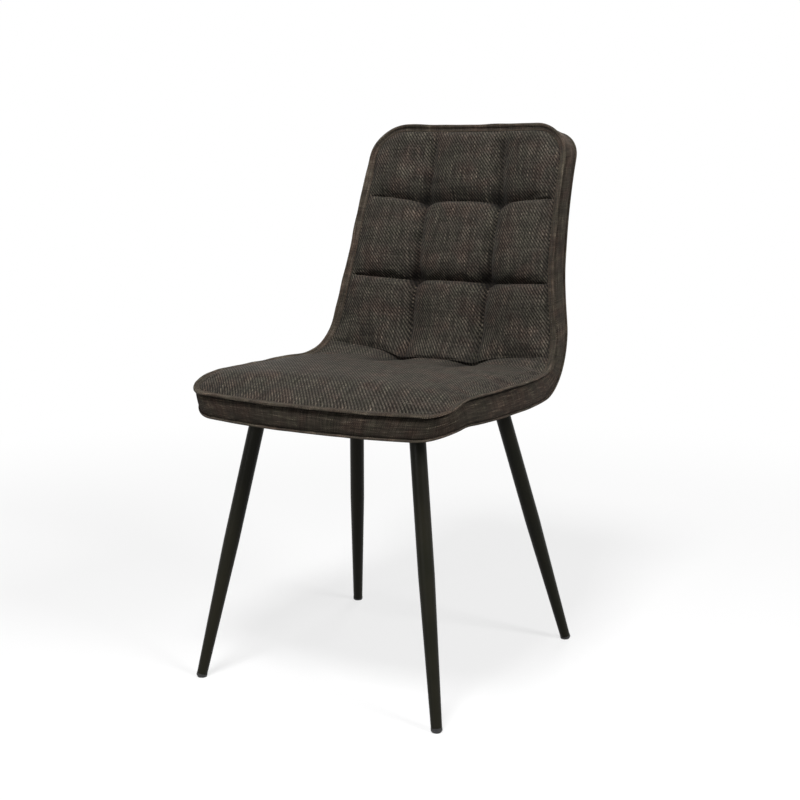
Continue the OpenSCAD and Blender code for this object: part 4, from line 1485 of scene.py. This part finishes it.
@dataclass(frozen=True)
class Studio:
    """Plain pale floor, a high key lamp, three fill lamps, and the camera in front to the right."""

    camera_at: tuple[float, float, float] = (1.127, -1.8976, 0.810)
    camera_to: tuple[float, float, float] = (0.017, -0.0236, 0.432)
    lens_mm: float = 62.46
    sensor_mm: float = 36.0
    floor_m: float = 60.0
    soft_light: float = 0.03

    def build(self) -> None:
        """Sets up the floor, the world, the lamps and the camera."""
        scene = bpy.context.scene
        scene.view_settings.view_transform = "Standard"
        self._floor()
        self._world(scene)
        lamps = (
            ("key", (0.30, -1.15, 2.60), (0.0, 0.0, 0.60), 0.6, 66.0),
            ("right", (4.84, -0.85, 3.89), (0.0, 0.0, 0.55), 1.6, 215.0),
            ("front", (-1.01, -5.71, 2.00), (0.0, 0.0, 0.55), 1.6, 62.0),
            ("rear", (-1.20, 5.20, 1.90), (0.0, 0.0, 0.55), 1.8, 110.0),
        )
        for name, place, target, size, power in lamps:
            light = bpy.data.lights.new(name, "AREA")
            light.shape, light.size, light.energy = "SQUARE", size, power
            self._aim(placed(name, light), place, target)
        lens = bpy.data.cameras.new("camera")
        lens.lens, lens.sensor_width = self.lens_mm, self.sensor_mm
        scene.camera = placed("camera", lens)
        self._aim(scene.camera, self.camera_at, self.camera_to)

    def _aim(self, thing: Piece, place: Sequence[float], target: Sequence[float]) -> None:
        """Puts a lamp or the camera in its place and turns it to its target."""
        thing.location = place
        thing.rotation_euler = (Vector(target) - Vector(place)).to_track_quat("-Z", "Y").to_euler()

    def _rays(self, sh: Shading) -> None:
        """Adds "seen": 1 for rays that the eye follows, also off gloss or through glass, or else 0.

        Args:
            sh: the node tree to add to.
        """
        sh.add("rays", "LightPath")
        sh.add("straight", "Math", {0: "rays.Is Camera Ray", 1: "rays.Is Glossy Ray"},
               operation="MAXIMUM")
        sh.add("seen", "Math", {0: "straight", 1: "rays.Is Transmission Ray"}, operation="MAXIMUM")

    def _floor(self) -> None:
        """Lays a pale matt floor that keeps the shadow but looks almost white."""
        sh = Shading(bpy.data.materials.new("Floor_PaleMatt"))
        self._rays(sh)
        sh.add("place", "TexCoord")
        sh.add("reach", "VectorMath", {0: "place.Object"}, operation="LENGTH")
        sh.add("bright", "MapRange", {0: "reach.Value", 1: 0.7, 2: 2.2, 3: 0.72, 4: 1.0},
               interpolation_type="SMOOTHSTEP")
        sh.add("share", "Math", {0: "seen", 1: "bright.0"}, operation="MULTIPLY")
        sh.add("paint", "Mix", {0: "seen", 6: linear("#505050"), 7: linear("#eeeeee")},
               data_type="RGBA")
        sh.add("matt", "BsdfDiffuse", {"Color": "paint.2"})
        sh.add("white", "Emission", {"Color": WHITE, "Strength": 1.0})
        sh.add("blend", "MixShader", {0: "share", 1: "matt", 2: "white"})
        sh.add("output", "OutputMaterial", {"Surface": "blend"})
        corners = np.array([(-1, -1, 0), (1, -1, 0), (1, 1, 0), (-1, 1, 0)]) * self.floor_m / 2
        floor = placed("floor", mesh_of("floor", corners / MM, [range(4)]))
        floor.data.materials.append(sh.owner)

    def _world(self, scene: bpy.types.Scene) -> None:
        """White to the eye and in reflections, and a soft grey light from all round.

        Args:
            scene: the scene to light.
        """
        sh = Shading(bpy.data.worlds.new("studio"))
        self._rays(sh)
        sh.add("soft", "Background", {"Color": WHITE, "Strength": self.soft_light})
        sh.add("white", "Background", {"Color": WHITE, "Strength": 1.0})
        sh.add("blend", "MixShader", {0: "seen", 1: "soft", 2: "white"})
        sh.add("output", "OutputWorld", {"Surface": "blend"})
        scene.world = sh.owner


def main() -> None:
    """Builds the chair's pieces in order, dresses them and sets up the studio."""
    logging.basicConfig(level=logging.INFO, format="%(message)s")
    sheet = BentSheet()
    face_cloth = MelangeCloth("Melange_Twill", Lay.TWILL).material()
    edge_cloth = MelangeCloth("Melange_Edge", Lay.PLAIN,
                              warp=("#3a352f", "#4e4740", "#655d53", "#857c70"),
                              weft=("#3f3933", "#5c544b", "#7b7166", "#b3a898")).material()
    foam = CUT_FOAM.material()

    back = clothe(BackCushion(sheet, Filling(slack=0.012, cap_mm=4.5)).build(), face_cloth)
    seat = clothe(SeatCushion(sheet, Filling(slack=0.02, cap_mm=5.0)).build(), face_cloth)

    for ring in rings(sheet):
        clothe(ring.build(sheet), edge_cloth)
    clothe(WeltStitching().build(sheet), SEWING_THREAD.material())

    low, half_gap, hem = sheet.seams[0], sheet.layer_gap / 2, 0.2
    under = {"top": sheet.cover_top, "inset": sheet.cover_inset, "front_r": sheet.low_front_r,
             "top_r": sheet.low_top_r}
    cover = clothe(Layer("outer_back", "outer_cover", "face_fabric", sheet.split + hem,
                         sheet.length - sheet.cover_inset, base=sheet.cover_top - sheet.cover_t,
                         bulge=1.2, **under).build(sheet), face_cloth)
    dust = clothe(Layer("dust_sheet", "dust_cover", "dust_cloth", sheet.cover_inset, sheet.split - hem,
                        base=sheet.cover_top - sheet.dust_t, **under).build(sheet), SPUNBOND.material())
    for name, start, end in (("seat_foam", sheet.inner_inset, low - half_gap),
                             ("back_foam", low + half_gap, sheet.length - sheet.inner_inset)):
        slab = clothe(Layer(name + "_block", name, "foam", start, end, top=sheet.foam_top,
                            base=sheet.foam_top - sheet.foam_t, inset=sheet.inner_inset,
                            front_r=sheet.low_front_r, top_r=sheet.face_top_r, rows=40,
                            cols=24).build(sheet), foam)

    corners = [f"{end}_{side}" for end in ("front", "rear") for side in ("left", "right")]
    dress([f"{part}_{corner}" for corner in corners for part in ("leg", "plate")], POWDER_COAT)
    dress([f"bolts_{corner}" for corner in corners] + ["washers", "tee_nuts"], ZINC_PLATE)
    dress([f"glide_{corner}" for corner in corners], MOULDED_GLIDE)
    dress(["ply_shell"], BEECH_PLYWOOD)
    Studio().build()
    bpy.context.view_layer.update()


if __name__ == "__main__":
    main()
